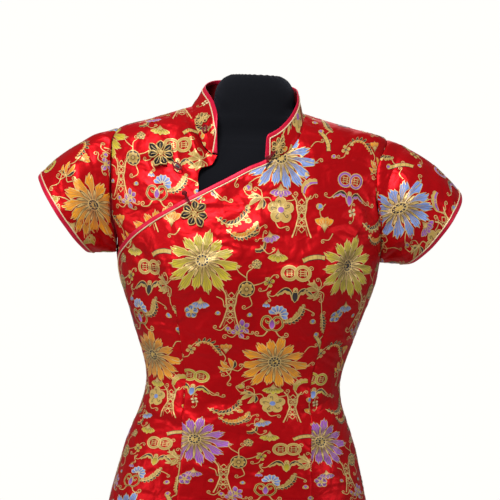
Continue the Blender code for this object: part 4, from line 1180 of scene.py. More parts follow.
CREASES = np.array((
    # facing  x0      z0      x1      z1      bend    width   height
    (-1, -0.150, 1.215, -0.120, 1.120, 0.010, 0.0130, -0.0030),
    (-1, -0.128, 1.225, -0.104, 1.150, 0.006, 0.0100, 0.0018),
    (-1, -0.136, 1.008, -0.060, 0.986, 0.006, 0.0080, 0.0026),
    (-1, -0.138, 0.994, -0.070, 0.972, 0.004, 0.0070, -0.0024),
    (-1, -0.120, 1.060, -0.050, 1.048, -0.005, 0.0090, -0.0020),
    (-1, 0.125, 1.030, 0.060, 1.012, 0.006, 0.0080, -0.0022),
    (-1, 0.130, 1.010, 0.070, 0.985, 0.005, 0.0085, 0.0020),
    (-1, 0.020, 1.020, -0.060, 1.030, 0.004, 0.0100, -0.0014),
    (-1, 0.155, 1.240, 0.120, 1.150, -0.012, 0.0130, -0.0028),
    (-1, 0.168, 1.262, 0.120, 1.318, -0.006, 0.0120, -0.0026),
    (-1, 0.158, 1.250, 0.098, 1.296, -0.006, 0.0100, 0.0018),
    (-1, -0.060, 1.268, 0.020, 1.298, 0.006, 0.0110, -0.0016),
    (-1, -0.020, 1.244, 0.060, 1.262, 0.006, 0.0130, 0.0014),
    (-1, 0.010, 1.180, -0.010, 1.090, 0.010, 0.0170, -0.0018),
    (-1, -0.045, 1.150, -0.040, 1.060, -0.008, 0.0150, 0.0014),
    (-1, 0.050, 1.150, 0.048, 1.050, 0.006, 0.0140, 0.0013),
    (-1, -0.050, 0.930, 0.070, 0.900, 0.012, 0.0160, -0.0016),
    (-1, -0.020, 0.860, -0.060, 0.640, 0.016, 0.0220, -0.0026),
    (-1, 0.060, 0.820, 0.080, 0.560, 0.012, 0.0240, 0.0026),
    (-1, 0.120, 0.760, 0.115, 0.500, -0.010, 0.0180, -0.0022),
    (-1, -0.110, 0.740, -0.125, 0.470, 0.010, 0.0200, 0.0026),
    (-1, 0.010, 0.640, 0.020, 0.440, 0.008, 0.0240, -0.0022),
    (1, -0.130, 1.030, -0.050, 1.000, -0.008, 0.0100, 0.0030),
    (1, -0.135, 1.010, -0.040, 0.978, -0.006, 0.0090, -0.0030),
    (1, 0.128, 1.026, 0.040, 1.004, -0.008, 0.0090, -0.0028),
    (1, 0.132, 1.044, 0.030, 1.036, 0.005, 0.0100, 0.0024),
    (1, 0.100, 0.985, -0.030, 0.960, -0.008, 0.0110, -0.0022),
    (1, 0.150, 1.235, 0.100, 1.160, 0.010, 0.0130, -0.0028),
    (1, -0.155, 1.240, -0.110, 1.150, -0.010, 0.0140, -0.0030),
    (1, -0.080, 1.330, -0.020, 1.300, 0.008, 0.0140, -0.0016),
    (1, 0.030, 0.820, 0.060, 0.560, 0.012, 0.0240, -0.0028),
    (1, -0.070, 0.780, -0.060, 0.500, -0.010, 0.0220, 0.0028),
    (1, -0.130, 0.700, -0.120, 0.460, 0.010, 0.0200, -0.0024),
    (1, 0.125, 0.720, 0.120, 0.470, 0.008, 0.0200, 0.0026),
))


def crease_height(p, table):
    """Sum of soft ridges and troughs: a Gaussian across each bent line, a sine along it."""
    x, z = p[..., 0], p[..., 2]
    rise = np.zeros(x.shape)
    for x0, z0, x1, z1, bend, width, height in table:
        run = np.hypot(x1 - x0, z1 - z0)
        a = ((x - x0) * (x1 - x0) + (z - z0) * (z1 - z0)) / run ** 2
        b = ((z - z0) * (x1 - x0) - (x - x0) * (z1 - z0)) / run - bend * np.sin(np.pi * np.clip(a, 0, 1))
        rise += height * np.sin(np.pi * np.clip(0.08 + 0.84 * a, 0, 1)) ** 1.5 * np.exp(-(b / width) ** 2)
    return rise


def folds(p, facing):
    """How far the worn cloth stands off its smooth shape: soft ridges and troughs, each a Gaussian
    across its bent line and a sine along it, over two slow waves, dying out at the side seams."""
    x, z = p[..., 0], p[..., 2]
    rise = (0.0008 * np.sin(61 * x + 23 * z + 1.3 * np.sin(19 * z)) * np.sin(37 * z - 11 * x)
            + 0.0005 * np.sin(113 * x - 41 * z + facing) * np.sin(71 * z + 29 * x + 2 * facing))
    rise = rise + 1.7 * crease_height(p, CREASES[CREASES[:, 0] == facing][:, 1:])
    side = 1 - np.abs(x) / reach_of(x, z)
    return rise * np.clip(side / 0.05, 0, 1)


def dart_dip(p, facing, darts):
    """Groove along each dart's stitching, and the panel to its outer side a hair lower."""
    x, z = p[..., 0], p[..., 2]
    off = np.abs(x) - smooth(z, darts, 1)
    deep = np.clip((z - darts[0, 0]) / 0.02, 0, 1) * np.clip((darts[-1, 0] - z) / 0.02, 0, 1)
    return -deep * (0.0009 * np.exp(-(off / 0.0008) ** 2) + 0.0004 * np.exp(-(off / 0.006) ** 2) * (off > 0))


def taken_in(darts):
    """Moves figures to where they come once the darts are sewn: between the darts they stay, in a
    dart they vanish, and beyond it they come nearer by what the dart takes."""
    rows = np.linspace(darts[0, 0], darts[-1, 0], 60)
    seams = np.abs(flat_of(on_body(smooth(rows, darts, 1), rows, -1), -1)[:, 0])

    def uncut(at):
        at = np.stack((at[:, 0], smooth(at[:, 1], SETTLE, 1)), -1)
        z = at[:, 1] + CHEST
        seam = np.interp(z, rows, seams)
        take = smooth(z, darts, 2)
        far = np.abs(at[:, 0])
        near = np.where(far < seam, far, np.maximum(far - take, seam))
        return np.stack((np.sign(at[:, 0]) * near, at[:, 1]), -1)
    return uncut


share = np.linspace(0, 1, 600)
EDGE = around(np.radians(smooth(share, CLOSURE, 1)), smooth(share, CLOSURE, 2))
EDGE_PANEL = beside(EDGE, BINDING + GAP)
CORNER = 490
ROWS_UP = closer(56, (False, True))
SKIRT = np.concatenate((HEM + np.array((0, 0.0008, 0.002)), np.linspace(HEM + 0.0045, YOKE, 166)))


def panel(name, facing, top, left, darts, counts, phase, first=None):
    """Front or back in one grid: level rows from the hem to the yoke line, a patch above."""
    rows = level_rows(SKIRT, facing, darts, counts, (first, None))
    low = around(rows, SKIRT[:, None])
    right = armhole_edge(facing, -facing, ROWS_UP)
    yoke = patch(low[-1], top, left, right, facing, 1.5)
    grid = np.concatenate((low, yoke[1:]))
    flat = flat_of(grid, facing)
    rough = outwards(grid)
    height = folds(grid, facing) + dart_dip(grid, facing, darts) + rim_dip(grid, ("left", "right", "high"))
    piece, outer, normal = cloth(name + "_brocade", grid + rough * height[..., None], rough, flat)
    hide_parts(name + "_panel")
    woven_in = figures(name + "_figures", outer, normal, flat, phase, taken_in(darts))
    size, area = flat_size(flat)
    return piece, woven_in, size, area


front_counts = (22, 44, 22)
front_columns = level_rows(SKIRT[-1:], -1, FRONT_DARTS, front_counts).shape[1]
shoulder_count, neck_count = 27, 30
front_top = np.concatenate((spread(EDGE_PANEL[:CORNER + 1][::-1],
                                   closer(front_columns - shoulder_count - neck_count - 4, (True, False))),
                            spread(neckline(neck_front(1)[::-1], -1), np.linspace(0, 1, neck_count + 1)[1:]),
                            spread(shoulder(-1, 1)[::-1], np.linspace(0, 1, shoulder_count + 1)[1:])))
side_up = spread(EDGE_PANEL[CORNER:][::-1], ROWS_UP)
corner_x = side_up[0, 0]
end_turn = np.arccos((-corner_x / reach_of(-1, side_up[0, 2])) ** (SQUARE / 2))
ease_in = np.clip((SKIRT - (YOKE - 0.014)) / 0.014, 0, 1)
front_first = side_turn(SKIRT, -1, -1) * (1 - ease_in) + end_turn * ease_in
front, front_figures, front_size, front_area = panel(
    "front_over", -1, front_top, side_up, FRONT_DARTS, front_counts, (0.031, 0.0745), front_first)

back_counts = (22, 46, 22)
back_columns = level_rows(SKIRT[-1:], 1, BACK_DARTS, back_counts).shape[1]
SHOULDER_COUNT = 26
back_top = np.concatenate((
    spread(shoulder(1, 1), np.linspace(0, 1, SHOULDER_COUNT + 1)[:-1]),
    spread(neckline(neck_back()[::-1], 1), np.linspace(0, 1, back_columns - 2 * SHOULDER_COUNT)),
    spread(shoulder(1, -1)[::-1], np.linspace(0, 1, SHOULDER_COUNT + 1)[1:])))
back, back_figures, back_size, back_area = panel(
    "back", 1, back_top, armhole_edge(1, 1, ROWS_UP), BACK_DARTS, back_counts, (-0.030, 0.078))

UNDER_HIDDEN = 0.034
FREE_EDGE = np.array(((-0.0520, 1.3410), (-0.0590, 1.3290), (-0.0730, 1.3220), (-0.0770, 1.3100),
                      (-0.0760, 1.2960), (-0.0800, 1.2700)))
UNDER_CREASES = np.array((
    # x0      z0      x1      z1      bend    width   height
    (-0.104, 1.396, -0.070, 1.308, 0.004, 0.0058, 0.0058),
    (-0.089, 1.392, -0.058, 1.318, 0.003, 0.0070, -0.0046),
    (-0.124, 1.384, -0.100, 1.300, 0.006, 0.0095, -0.0040),
    (-0.160, 1.330, -0.120, 1.290, 0.006, 0.0120, -0.0024),
    (-0.172, 1.276, -0.130, 1.250, -0.006, 0.0110, -0.0026),
    (-0.165, 1.300, -0.120, 1.268, -0.005, 0.0090, 0.0020),
))


under_low = beside(EDGE, UNDER_HIDDEN)
under_low = under_low[(under_low[:, 0] < FREE_EDGE[-1, 0]) & (under_low[:, 2] > YOKE)]
free = through(FREE_EDGE * 1000, 80) / 1000
free = on_body(free[:, 0], free[:, 1], -1)
free[-1] = under_low[0]
UNDER_ROWS = closer(44)
under_top = np.concatenate((spread(shoulder(-1, -1), closer(24, (True, False))[:-1]),
                            spread(neckline(neck_front(-1), -1), closer(26, (False, True)))))
side_left = armhole_edge(-1, -1, UNDER_ROWS, under_low[-1, 2])
under_bottom = spread(np.concatenate((side_left[:1], under_low[:-1][::-1])),
                      np.linspace(0, 1, len(under_top)))
free[0] = under_top[-1]
under = patch(under_bottom, under_top, side_left, spread(free[::-1], UNDER_ROWS), -1, 1.3)
under_flat = flat_of(under, -1)
below = smooth(UNDER_ROWS, np.array(((0, 1.0), (0.45, 1.0), (1, 0.0))), 1)[:, None]
height = (-TUCK * np.maximum(below,
                             np.clip((1.215 - under[..., 2]) / 0.01, 0, 1)) + rim_dip(under, ("left", "high"))
          + crease_height(under,
                          UNDER_CREASES) * np.clip((1 - np.abs(under[...,
                                                                     0]) / reach_of(under[..., 0], under[..., 2])) / 0.05, 0, 1))
rough = outwards(under)
under_panel, outer, normal = cloth("front_under_brocade", under + rough * height[..., None], rough,
                                   under_flat)
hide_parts("front_under_panel")
under_figures = figures("front_under_figures", outer, normal, under_flat, (0.074, 0.237))


# Sleeves ------------------------------------------------------------------------------------
# Short cap sleeves, each one piece of brocade set into the armhole with little ease and bound at
# the hem. Their cloth bows out over nothing, and folds where it hangs from the shoulder.

SLEEVE_TIP = (0.2830, 1.3050)
SLEEVE_UNDER = (0.2130, 1.2065)
SLEEVE_HALF_DEPTH = 0.058
SLEEVE_HANG = 0.009
SLEEVE_CROWN = 0.010
SLEEVE_CREASES = {
    # turn0  down0  turn1  down1  width  height
    -1: ((20, 0.50, 125, 0.62, 0.13, 0.0022), (35, 0.80, 140, 0.86, 0.12, -0.0022),
         (60, 0.22, 150, 0.34, 0.12, -0.0030),
         (100, 0.95, 165, 0.10, 0.14, -0.0026), (-30, 0.40, -120, 0.66, 0.14, -0.0024),
         (-50, 0.72, -140, 0.30, 0.12, 0.0022),
         (-10, 0.30, 40, 0.20, 0.12, 0.0014)),
    1: ((15, 0.12, 120, 0.20, 0.12, -0.0030), (30, 0.42, 140, 0.56, 0.14, 0.0024),
        (60, 0.95, 105, 0.30, 0.10, -0.0024),
        (110, 0.80, 160, 0.20, 0.14, -0.0024), (-25, 0.34, -130, 0.52, 0.14, -0.0026),
        (-60, 0.80, -150, 0.52, 0.12, 0.0022),
        (5, 0.62, 55, 0.80, 0.10, 0.0012)),
}


def sleeve(turn, side):
    """Armhole and hem rings of a cap sleeve, and the way its cloth bows out between them."""
    start = armhole(turn, side)
    share = (1 - np.cos(turn)) / 2
    (tip_x, tip_z), (under_x, under_z) = SLEEVE_TIP, SLEEVE_UNDER
    bow = SLEEVE_HANG * np.abs(np.sin(turn))
    fall = np.hypot(tip_x - under_x, tip_z - under_z)
    x = tip_x + share * (under_x - tip_x) + bow * (tip_z - under_z) / fall
    z = tip_z + share * (under_z - tip_z) - bow * (tip_x - under_x) / fall
    end = np.stack((side * x, -SLEEVE_HALF_DEPTH * np.sin(turn), z), -1)
    over = np.maximum(np.cos(turn), 0)
    return start, end, SLEEVE_CROWN * np.stack((side * 0.55 * over, -np.sin(turn), 0.8 * over), -1)


def down_sleeve(side, turn, first, last, shares):
    """Rings from a distance past the armhole to a distance short of the hem: straight, plus the bow
    times four times the share by its rest."""
    start, end, out = sleeve(turn, side)
    length = np.linalg.norm(end - start, axis=-1)
    t = (first * (1 - shares[:, None]) + (length - last) * shares[:, None]) / length
    return start + t[..., None] * (end - start) + (4 * t * (1 - t))[..., None] * out


def sleeve_folds(turn, down, side):
    """Soft ridges and troughs across a sleeve, from one turn and share of the way down to another."""
    rise = 0.0005 * np.sin(7 * turn + 9 * down) * np.sin(5 * down + 3 * turn + side)
    for turn0, down0, turn1, down1, width, height in SLEEVE_CREASES[side]:
        a = (turn - np.radians(turn0)) / np.radians(turn1 - turn0)
        b = down - (down0 + (down1 - down0) * a)
        rise = rise + 1.5 * height * np.sin(np.pi * np.clip(0.05 + 0.9 * a, 0,
                                                            1)) ** 1.3 * np.exp(-(b / width) ** 2)
    return rise


def edging(name, inner, outer, normal, made, ring=False, thick=BINDING_WALL, sides=14, pucker=0.07):
    """Binding folded over an edge: a rounded bar from the inner path to the outer one, its thickness
    puckered along the stitching."""
    turn = np.arange(sides) * 2 * np.pi / sides
    c, s = np.cos(turn), np.sin(turn)
    c, s = np.sign(c) * np.abs(c) ** 0.6, np.sign(s) * np.abs(s) ** 0.85
    run = lengths(inner)
    wave = 1 + pucker * np.sin(run * 950 + 3 * np.sin(run * 170)) * np.sin(run * 310 + 1)
    if ring:
        wave[-1] = wave[0]
    middle, across = (inner + outer) / 2, (inner - outer) / 2
    grid = (middle[:, None] + across[:, None] * c[None, :, None]
            + normal[:, None] * (thick / 2 * wave)[:, None, None] * s[None, :, None])
    if not ring:
        grid = np.concatenate((np.repeat(middle[:1, None], sides, 1), grid,
                               np.repeat(middle[-1:, None], sides, 1)))
    piece = finish_mesh(name, grid.reshape(-1, 3), grid_faces(len(grid), sides, ring=True), made)
    close_up(piece, 2e-6)
    return piece


def cord(name, path, radius, made, ring=False, sides=10):
    """Round cord along a path, its ends drawn in to a point; its frame comes from one fixed way
    that no path here follows."""
    direction = along(np.concatenate((path[-2:-1], path, path[1:2])))[1:-1] if ring else along(path)
    side = unit(np.cross(direction, (0.13, 0.31, 0.94)))
    up = np.cross(direction, side)
    turn = np.arange(sides) * 2 * np.pi / sides
    radius = np.broadcast_to(radius, len(path))[:, None, None]
    grid = path[:,
                None] + radius * (np.cos(turn)[:, None] * side[:, None] + np.sin(turn)[:, None] * up[:, None])
    if not ring:
        grid = np.concatenate((np.repeat(path[:1, None], sides, 1), grid,
                               np.repeat(path[-1:, None], sides, 1)))
    piece = finish_mesh(name, grid.reshape(-1, 3), grid_faces(len(grid), sides, ring=True), made)
    close_up(piece, 2e-6)
    return piece


def trim_satin(name, colour, roughness, sheen):
    """Plain satin cut on the cross: fine slanting floats as a bump."""
    made = shader(name, colour, roughness, Metallic=0.3, Specular_IOR_Level=0.3, Sheen_Weight=sheen,
                  Sheen_Roughness=0.4)
    place = node(made, "ShaderNodeTexCoord")
    floats = node(made, "ShaderNodeMapping")
    floats.inputs["Rotation"].default_value = (0.6, 0.5, 0.8)
    floats.inputs["Scale"].default_value = (2400, 700, 2400)
    grain = node(made, "ShaderNodeTexNoise", Scale=1.0, Detail=1.0)
    link(made, place, "Object", floats, "Vector")
    link(made, floats, "Vector", grain, "Vector")
    bumpy(made, grain, "Fac", 0.4, 0.0002)
    return made


CRIMSON_SATIN = trim_satin("crimson_satin_binding", (0.70, 0.006, 0.045), 0.42, 0.04)
CREAM_SATIN = trim_satin("cream_satin_piping", (0.88, 0.70, 0.44), 0.42, 0.1)
PIPING_LIFT = 0.0010
PIPING_RADIUS = 0.00085
SLEEVE_TURNS = np.linspace(-np.pi, np.pi, 105)
SLEEVE_SHARES = closer(30, (True, True))
SLEEVE_TOP = len(SLEEVE_TURNS) // 2      # column on the shoulder line
for side, word, phase in ((-1, "left", (0.1164, 0.3185)), (1, "right", (-0.113, 0.065))):
    ring = armhole(SLEEVE_TURNS, side)
    body_out = outwards(ring)
    away = unit(np.cross(body_out, np.roll(ring, -1, axis=0) - np.roll(ring, 1, axis=0)))
    away[0] = away[-1] = unit(away[1] + away[-2])
    away *= np.sign(away[SLEEVE_TOP, 0] * side)
    cap = down_sleeve(side, SLEEVE_TURNS, WALL, BINDING + GAP, SLEEVE_SHARES)
    cap[0] = ring + away * (GAP + WALL / 2)
    rough = unit(cap - cap.mean(1, keepdims=True))
    fade = np.clip(SLEEVE_SHARES / 0.1, 0, 1)[:, None]
    height = sleeve_folds(SLEEVE_TURNS[None], SLEEVE_SHARES[:, None], side) * fade + rim_dip(cap, ("low",))
    height[:, 0] = height[:, -1] = (height[:, 0] + height[:, -1]) / 2
    smooth_normal = grid_normals(cap, rough)
    cap = cap + smooth_normal * height[..., None]
    arcs = np.concatenate((np.zeros((len(cap), 1)),
                           np.cumsum(np.linalg.norm(np.diff(cap, axis=1), axis=-1), 1)), 1)
    arcs = arcs - arcs[:, SLEEVE_TOP, None]
    up = np.cumsum(np.linalg.norm(np.diff(cap[::-1], axis=0), axis=-1), 0)[::-1]
    cap_flat = np.stack((-side * arcs, np.concatenate((up, np.zeros((1, len(SLEEVE_TURNS)))))), -1)
    piece, outer, normal = cloth("sleeve_brocade_" + word, cap, rough, cap_flat, ring=True)
    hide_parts("sleeve_" + word)
    woven_in = figures("sleeve_figures_" + word, outer, normal, cap_flat, phase)
    hem = down_sleeve(side, SLEEVE_TURNS, BINDING, 0, np.array((0.0, 1.0)))[1]
    hem = hem + smooth_normal[-1] * height[-1][:, None]
    inner = hem + unit(cap[-1] - hem) * BINDING
    binding = edging("sleeve_hem_binding_" + word, inner, hem, normal[-1], CRIMSON_SATIN, ring=True)
    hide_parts("sleeve_binding_" + word)
    piping = cord("sleeve_hem_piping_" + word, inner + normal[-1] * PIPING_LIFT, PIPING_RADIUS, CREAM_SATIN,
                  ring=True)
    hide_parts("sleeve_piping_" + word)


# Stand collar -------------------------------------------------------------------------------
# Mandarin collar of two layers of brocade with rounded front corners, bound along its ends and top.

COLLAR_TOP = np.array((
    # share   x        y        z
    (0.000, -0.0535, -0.0680, 1.3760),
    (0.100, -0.0530, -0.0600, 1.3920),
    (0.190, -0.0570, -0.0400, 1.4110),
    (0.270, -0.0670, -0.0040, 1.4320),
    (0.370, -0.0500, 0.0410, 1.4450),
    (0.480, -0.0080, 0.0570, 1.4480),
    (0.600, 0.0390, 0.0420, 1.4440),
    (0.712, 0.0565, -0.0020, 1.4340),
    (0.800, 0.0545, -0.0330, 1.4190),
    (0.875, 0.0440, -0.0560, 1.3980),
    (0.945, 0.0280, -0.0690, 1.3800),
    (1.000, 0.0110, -0.0750, 1.3690),
))
COLLAR_ROUND = 0.008
COLLAR_FOOT = 0.045
seam = np.concatenate((neck_front(-1)[::-1], neck_back()[1:-1], neck_front(1)))
SEAM_LENGTH = lengths(seam)[-1]


def collar_top(s):
    """Top edge of the collar, at a length along its seam."""
    return np.stack([smooth(s / SEAM_LENGTH, COLLAR_TOP, column) for column in (1, 2, 3)], -1)


def collar_height(s):
    """Distance from the seam to the top edge, at a length along the seam."""
    return np.linalg.norm(collar_top(s) - spread(seam, s / SEAM_LENGTH), axis=-1)


def collar_at(s, k):
    """Point of the collar s along its seam and k straight up from it, in metres of cloth."""
    foot = spread(seam, s / SEAM_LENGTH)
    rise = collar_top(s) - foot
    return foot + rise * (k / np.linalg.norm(rise, axis=-1))[..., None]


def collar_normal(s, k):
    """Unit normal pointing away from the neck, over steps of four millimetres."""
    step = 0.004
    a = collar_at(np.clip(s + step, 0, SEAM_LENGTH), k) - collar_at(np.clip(s - step, 0, SEAM_LENGTH), k)
    return unit(np.cross(collar_at(s, k + step) - collar_at(s, k - step), a))


def collar_rim(inset):
    """Path in s and k up the left end, round its corner, along the top and down the right end."""
    radius = max(COLLAR_ROUND - inset, 0.0006)
    turn = np.linspace(0, np.pi / 2, 9)
    ends = np.array((inset + radius, SEAM_LENGTH - inset - radius))
    tops = collar_height(ends) - inset - radius
    low = np.linspace(COLLAR_FOOT, 1, 12)[:-1]
    mid = np.linspace(ends[0], ends[1], 170)[1:-1]
    s = np.concatenate((np.full(11, inset), ends[0] - radius * np.cos(turn), mid,
                        ends[1] + radius * np.sin(turn), np.full(11, SEAM_LENGTH - inset)))
    k = np.concatenate((low * tops[0], tops[0] + radius * np.sin(turn), collar_height(mid) - inset,
                        tops[1] + radius * np.cos(turn), (low * tops[1])[::-1]))
    return s, k


edge_in = BINDING + 1.5 * GAP
s_across = np.linspace(edge_in, SEAM_LENGTH - edge_in, 118)
grid_s = np.broadcast_to(s_across, (15, 118))
grid_top = collar_height(s_across) - edge_in
grid_top[[0, -1]] -= 0.0016
grid_k = np.linspace(0.002, 1, 15)[:, None] * grid_top
rough = collar_normal(grid_s, grid_k)
ripple = 0.0005 * np.sin(90 * grid_s + 60 * grid_k) * np.sin(40 * grid_s + 1) * np.sin(np.pi * np.clip(grid_k / 0.04, 0, 1))
collar_flat = np.stack((-(grid_s - SEAM_LENGTH / 2), grid_k), -1)
collar, outer, normal = cloth("collar_brocade", collar_at(grid_s, grid_k) + rough * ripple[..., None],
                              rough, collar_flat,
                              COLLAR_WALL)
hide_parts("stand_collar")
collar_figures = figures("collar_figures", outer, normal, collar_flat, (-0.160, 0.090))
outer_rim, inner_rim = (collar_at(*collar_rim(inset)) for inset in (0, BINDING))
rim_normal = collar_normal(*collar_rim(BINDING))
collar_binding = edging("collar_edge_binding", inner_rim, outer_rim, rim_normal, CRIMSON_SATIN)
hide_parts("collar_binding")
collar_piping = cord("collar_edge_piping", inner_rim + rim_normal * PIPING_LIFT, PIPING_RADIUS, CREAM_SATIN)
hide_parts("collar_piping")

edge_at = EDGE[::2]
inner_at = beside(EDGE, BINDING)[::2]
edge_out = outwards(edge_at)
edge_at = edge_at + edge_out * folds(edge_at, -1)[:, None]
inner_at = inner_at + outwards(inner_at) * folds(inner_at, -1)[:, None]
closure_binding = edging("closure_edge_binding", inner_at, edge_at, edge_out, CRIMSON_SATIN)
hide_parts("closure_binding")
closure_piping = cord("closure_edge_piping", inner_at + outwards(inner_at) * PIPING_LIFT, PIPING_RADIUS,
                      CREAM_SATIN)
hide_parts("closure_piping")


# Frog fastenings ----------------------------------------------------------------------------
# Hand-made frogs: black satin petals outlined with gold cord and sewn down, a ball knot of dark red
# cord on one half and a loop on the other.

def on_front(x0, z0, heading):
    """Flat sketch laid on the dress front, its first axis turned to the heading."""
    def place(a, b):
        x = x0 + a * np.cos(heading) - b * np.sin(heading)
        points = on_body(x, z0 + a * np.sin(heading) + b * np.cos(heading), -1)
        return points, outwards(points)
    return place


def on_collar(s0, k0, heading):
    """The same on the collar, s0 along its seam and k0 up it."""
    def place(a, b):
        s = s0 + a * np.cos(heading) - b * np.sin(heading)
        k = k0 + a * np.sin(heading) + b * np.cos(heading)
        return collar_at(s, k), collar_normal(s, k)
    return place


def gold_cord():
    """Gold wound cord: close slanting turns as a bump on a half-metal surface."""
    made = shader("gold_wound_cord", (0.74, 0.50, 0.17), 0.38, Metallic=0.35)
    place = node(made, "ShaderNodeTexCoord")
    turns = node(made, "ShaderNodeTexWave", bands_direction="DIAGONAL", Scale=520.0, Distortion=1.0)
    link(made, place, "Object", turns, "Vector")
    bumpy(made, turns, "Fac", 0.5, 0.0003)
    return made


BLACK_SATIN = trim_satin("black_satin_petal", (0.012, 0.008, 0.010), 0.45, 0.2)
DARK_CORD = trim_satin("dark_red_cord", (0.22, 0.004, 0.012), 0.5, 0.2)
GOLD_CORD = gold_cord()
KNOT = 0.0075
OVER_PIPING = 0.0035
ON_PANEL = WALL / 2 + GAP
ON_COLLAR = COLLAR_WALL / 2 + GAP


def joined(name, parts):
    """Parts made into one piece with the materials they came with."""
    work = bmesh.new()
    made = []
    for part in parts:
        first = len(work.faces)
        work.from_mesh(part.data)
        material = part.data.materials[0]
        made += [material] if material not in made else []
        work.faces.ensure_lookup_table()
        for face in work.faces[first:]:
            face.material_index = made.index(material)
    mesh = bpy.data.meshes.new(name)
    work.to_mesh(mesh)
    work.free()
    for material in made:
        mesh.materials.append(material)
    for part in parts:
        bpy.data.objects.remove(part, do_unlink=True)
    piece = bpy.data.objects.new(name, mesh)
    bpy.context.scene.collection.objects.link(piece)
    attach(piece, "root")
    return piece


def frog(name, place, radius, lift, end):
    """Half a frog: seven petals round a coil, the first petal away from the knot or loop."""
    parts = []

    def laid(path, height):
        points, out = place(path[:, 0], path[:, 1])
        return points + out * (lift + height)[:, None] if np.ndim(height) else points + out * (lift + height)

    for k in range(7):
        a = np.pi + 2 * np.pi * k / 7
        away, across = np.array((np.cos(a), np.sin(a))), np.array((-np.sin(a), np.cos(a)))
        length = radius * (1.0 if k == 0 else 0.92 if k in (2, 5) else 0.84)
        t = np.linspace(0, 1, 9)
        half = 0.235 * radius * np.sin(np.pi * t ** 1.25) ** 0.75
        bow = 0.06 * radius * np.sin(np.pi * t) * (-1) ** k
        spine = (0.20 * radius + (length - 0.20 * radius) * t)[:, None] * away + bow[:, None] * across
        s = np.array((-1, -0.5, 0, 0.5, 1))
        grid = spine[:, None] + half[:, None, None] * s[None, :, None] * across
        dome = 0.0012 * (1 - s ** 2)[None] * np.sin(np.pi * np.clip(t, 0.05, 0.95))[:, None] ** 0.5
        top = laid(grid.reshape(-1, 2), dome.ravel() + 0.0002)
        low = laid(grid.reshape(-1, 2), 0.0)
        pad = finish_mesh("pad", np.concatenate((top, low)),
                          np.concatenate((grid_faces(9, 5), grid_faces(9, 5, first=45)[:, ::-1], np.stack((
                              np.concatenate((np.arange(0, 40, 5) + 5, np.arange(4, 44, 5))),
                              np.concatenate((np.arange(0, 40, 5), np.arange(4, 44, 5) + 5)),
                              np.concatenate((np.arange(0, 40, 5), np.arange(4, 44, 5) + 5)) + 45,
                              np.concatenate((np.arange(0, 40, 5) + 5, np.arange(4, 44, 5))) + 45), -1))),
                              BLACK_SATIN)
        close_up(pad, 2e-5)
        loop = np.concatenate((spine - half[:, None] * across, (spine + half[:, None] * across)[::-1][1:]))
        parts += [pad, cord("rim", laid(loop, 0.0010), 0.00078, GOLD_CORD, sides=7)]
        parts.append(cord("vein", laid(spine[1:7], 0.0014), 0.00042, GOLD_CORD, sides=6))
    turn = np.linspace(0, 2.6 * 2 * np.pi, 60)
    coil = (0.0003 + 0.17 * radius * turn / turn[-1])[:, None] * np.stack((np.cos(turn), np.sin(turn)), -1)
    parts.append(cord("coil", laid(coil, 0.0018 - 0.0004 * turn / turn[-1]), 0.00070, GOLD_CORD, sides=7))
    flower = joined("frog_petals_" + name, parts)
    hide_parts("frog_flower_" + name)
    if end == "knot":
        centre, out = place(np.array((radius + 0.0075,)), np.zeros(1))
        centre = centre[0] + out[0] * (lift + OVER_PIPING + KNOT / 2 - 0.0005)
        t = np.linspace(0, 2 * np.pi, 121)
        lat, lon = 0.95 * np.sin(5 * t), 3 * t
        ball = 0.00285 + 0.00045 * np.cos(5 * t + 0.6 * np.sin(10 * t))
        weave = centre + ball[:,
                              None] * np.stack((np.cos(lat) * np.cos(lon), np.cos(lat) * np.sin(lon),
                                                np.sin(lat)), -1)
        a = np.linspace(0, 1, 9)
        stem = [laid(np.stack((radius * 0.55 + a * (radius * 0.45 + 0.0055), np.full(9, off)), -1),
                     0.0010 + OVER_PIPING * a ** 1.5 + 0.0015 * a) for off in (-0.0009, 0.0009)]
        ends = [cord("strand", weave, 0.00095, DARK_CORD, ring=True, sides=8),
                *[cord("stem", path, 0.00085, DARK_CORD, sides=8) for path in stem]]
    else:
        turn = np.linspace(-0.93, 0.93, 34) * np.pi
        a = radius + 0.0015 + 0.0065 * (1 + np.cos(turn))
        ends = [cord("strand", laid(np.stack((a + shift, width * np.sin(turn)), -1), rise), 0.00075,
                     DARK_CORD, sides=8)
                for shift, width, rise in ((0.0, 0.0038, 0.0012), (-0.0007, 0.0026, 0.0014))]
    tail = joined("frog_cord_" + end + "_" + name, ends)
    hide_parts("frog_" + end + "_" + name)
    return [flower, tail]


collar_frogs = frog("collar_left", on_collar(0.060, 0.0118, np.radians(180)), 0.0125, ON_COLLAR, "loop")
collar_frogs += frog("collar_right", on_collar(SEAM_LENGTH - 0.0195, 0.0132, np.radians(-38)), 0.0130,
                     ON_COLLAR, "knot")
chest_frog = frog("chest", on_front(-0.1250, 1.3400, np.radians(-38)), 0.0190, ON_PANEL, "loop")
closure_frog = frog("closure", on_front(-0.0800, 1.2630, np.radians(118)), 0.0195, ON_PANEL + 0.0006, "knot")


# Studio -------------------------------------------------------------------------------------
# Pale floor that glows for the camera alone, a soft key light from the left front, weak lights to
# either side and behind, and a white surround.

def studio_light(name, place, target, size, power, colour=(1, 1, 1)):
    """Round area light that faces its target."""
    lamp = bpy.data.lights.new(name, "AREA")
    lamp.shape, lamp.size, lamp.energy, lamp.color = "DISK", size, power, colour
    held = bpy.data.objects.new(name, lamp)
    bpy.context.scene.collection.objects.link(held)
    held.location = place
    held.rotation_euler = (Vector(target) - Vector(place)).to_track_quat("-Z", "Y").to_euler()
    return held


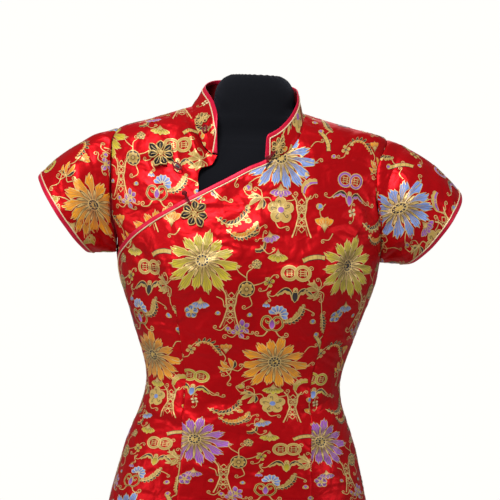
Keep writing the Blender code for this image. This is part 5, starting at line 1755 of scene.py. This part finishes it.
floor_mesh = bpy.data.meshes.new("floor")
floor_mesh.from_pydata([(-4, -4, 0), (4, -4, 0), (4, 4, 0), (-4, 4, 0)], [], [(0, 1, 2, 3)])
floor = bpy.data.objects.new("floor", floor_mesh)
bpy.context.scene.collection.objects.link(floor)
paint = shader("white_floor", (0.80, 0.79, 0.77), 0.8)
surface = paint.node_tree.nodes["Principled BSDF"]
surface.inputs["Emission Color"].default_value = (1.0, 0.985, 0.955, 1)
glow = node(paint, "ShaderNodeMath", operation="MULTIPLY")
glow.inputs[1].default_value = 0.50
link(paint, node(paint, "ShaderNodeLightPath"), "Is Camera Ray", glow, 0)
link(paint, glow, 0, surface, "Emission Strength")
floor.data.materials.append(paint)

studio_light("key", (-0.50, -1.15, 2.62), (0, 0, 1.20), 0.75, 32)
studio_light("left", (-2.1, -0.9, 1.35), (0, 0, 1.10), 0.9, 10)
studio_light("right", (2.2, -1.1, 1.5), (0, 0, 1.10), 0.9, 8)
studio_light("back", (0.2, 1.7, 2.3), (0, 0, 1.2), 1.2, 5)

world = bpy.data.worlds.new("surround")
bpy.context.scene.world = world
world.use_nodes = True
tree = world.node_tree
tree.nodes.clear()
seen = tree.nodes.new("ShaderNodeBackground")
seen.inputs["Color"].default_value = (0.99, 0.975, 0.945, 1)
seen.inputs["Strength"].default_value = 1.03
lit = tree.nodes.new("ShaderNodeBackground")
lit.inputs["Color"].default_value = (1, 0.99, 0.97, 1)
lit.inputs["Strength"].default_value = 0.18
path = tree.nodes.new("ShaderNodeLightPath")
mix = tree.nodes.new("ShaderNodeMixShader")
out = tree.nodes.new("ShaderNodeOutputWorld")
tree.links.new(path.outputs["Is Camera Ray"], mix.inputs["Fac"])
tree.links.new(lit.outputs[0], mix.inputs[1])
tree.links.new(seen.outputs[0], mix.inputs[2])
tree.links.new(mix.outputs[0], out.inputs["Surface"])

camera_data = bpy.data.cameras.new("camera")
camera_data.lens = 142
camera = bpy.data.objects.new("camera", camera_data)
bpy.context.scene.collection.objects.link(camera)
AIM = Vector((0.002, 0.0, 1.217))
camera.location = AIM + Vector((-2.65 * np.sin(np.radians(5)), -2.65 * np.cos(np.radians(5)), 0.055))
facing = (AIM - camera.location).to_track_quat("-Z", "Y")
camera.rotation_euler = (facing @ Quaternion((0, 0, 1), np.radians(2.3))).to_euler()
bpy.context.scene.camera = camera
bpy.context.scene.view_settings.view_transform = "Standard"
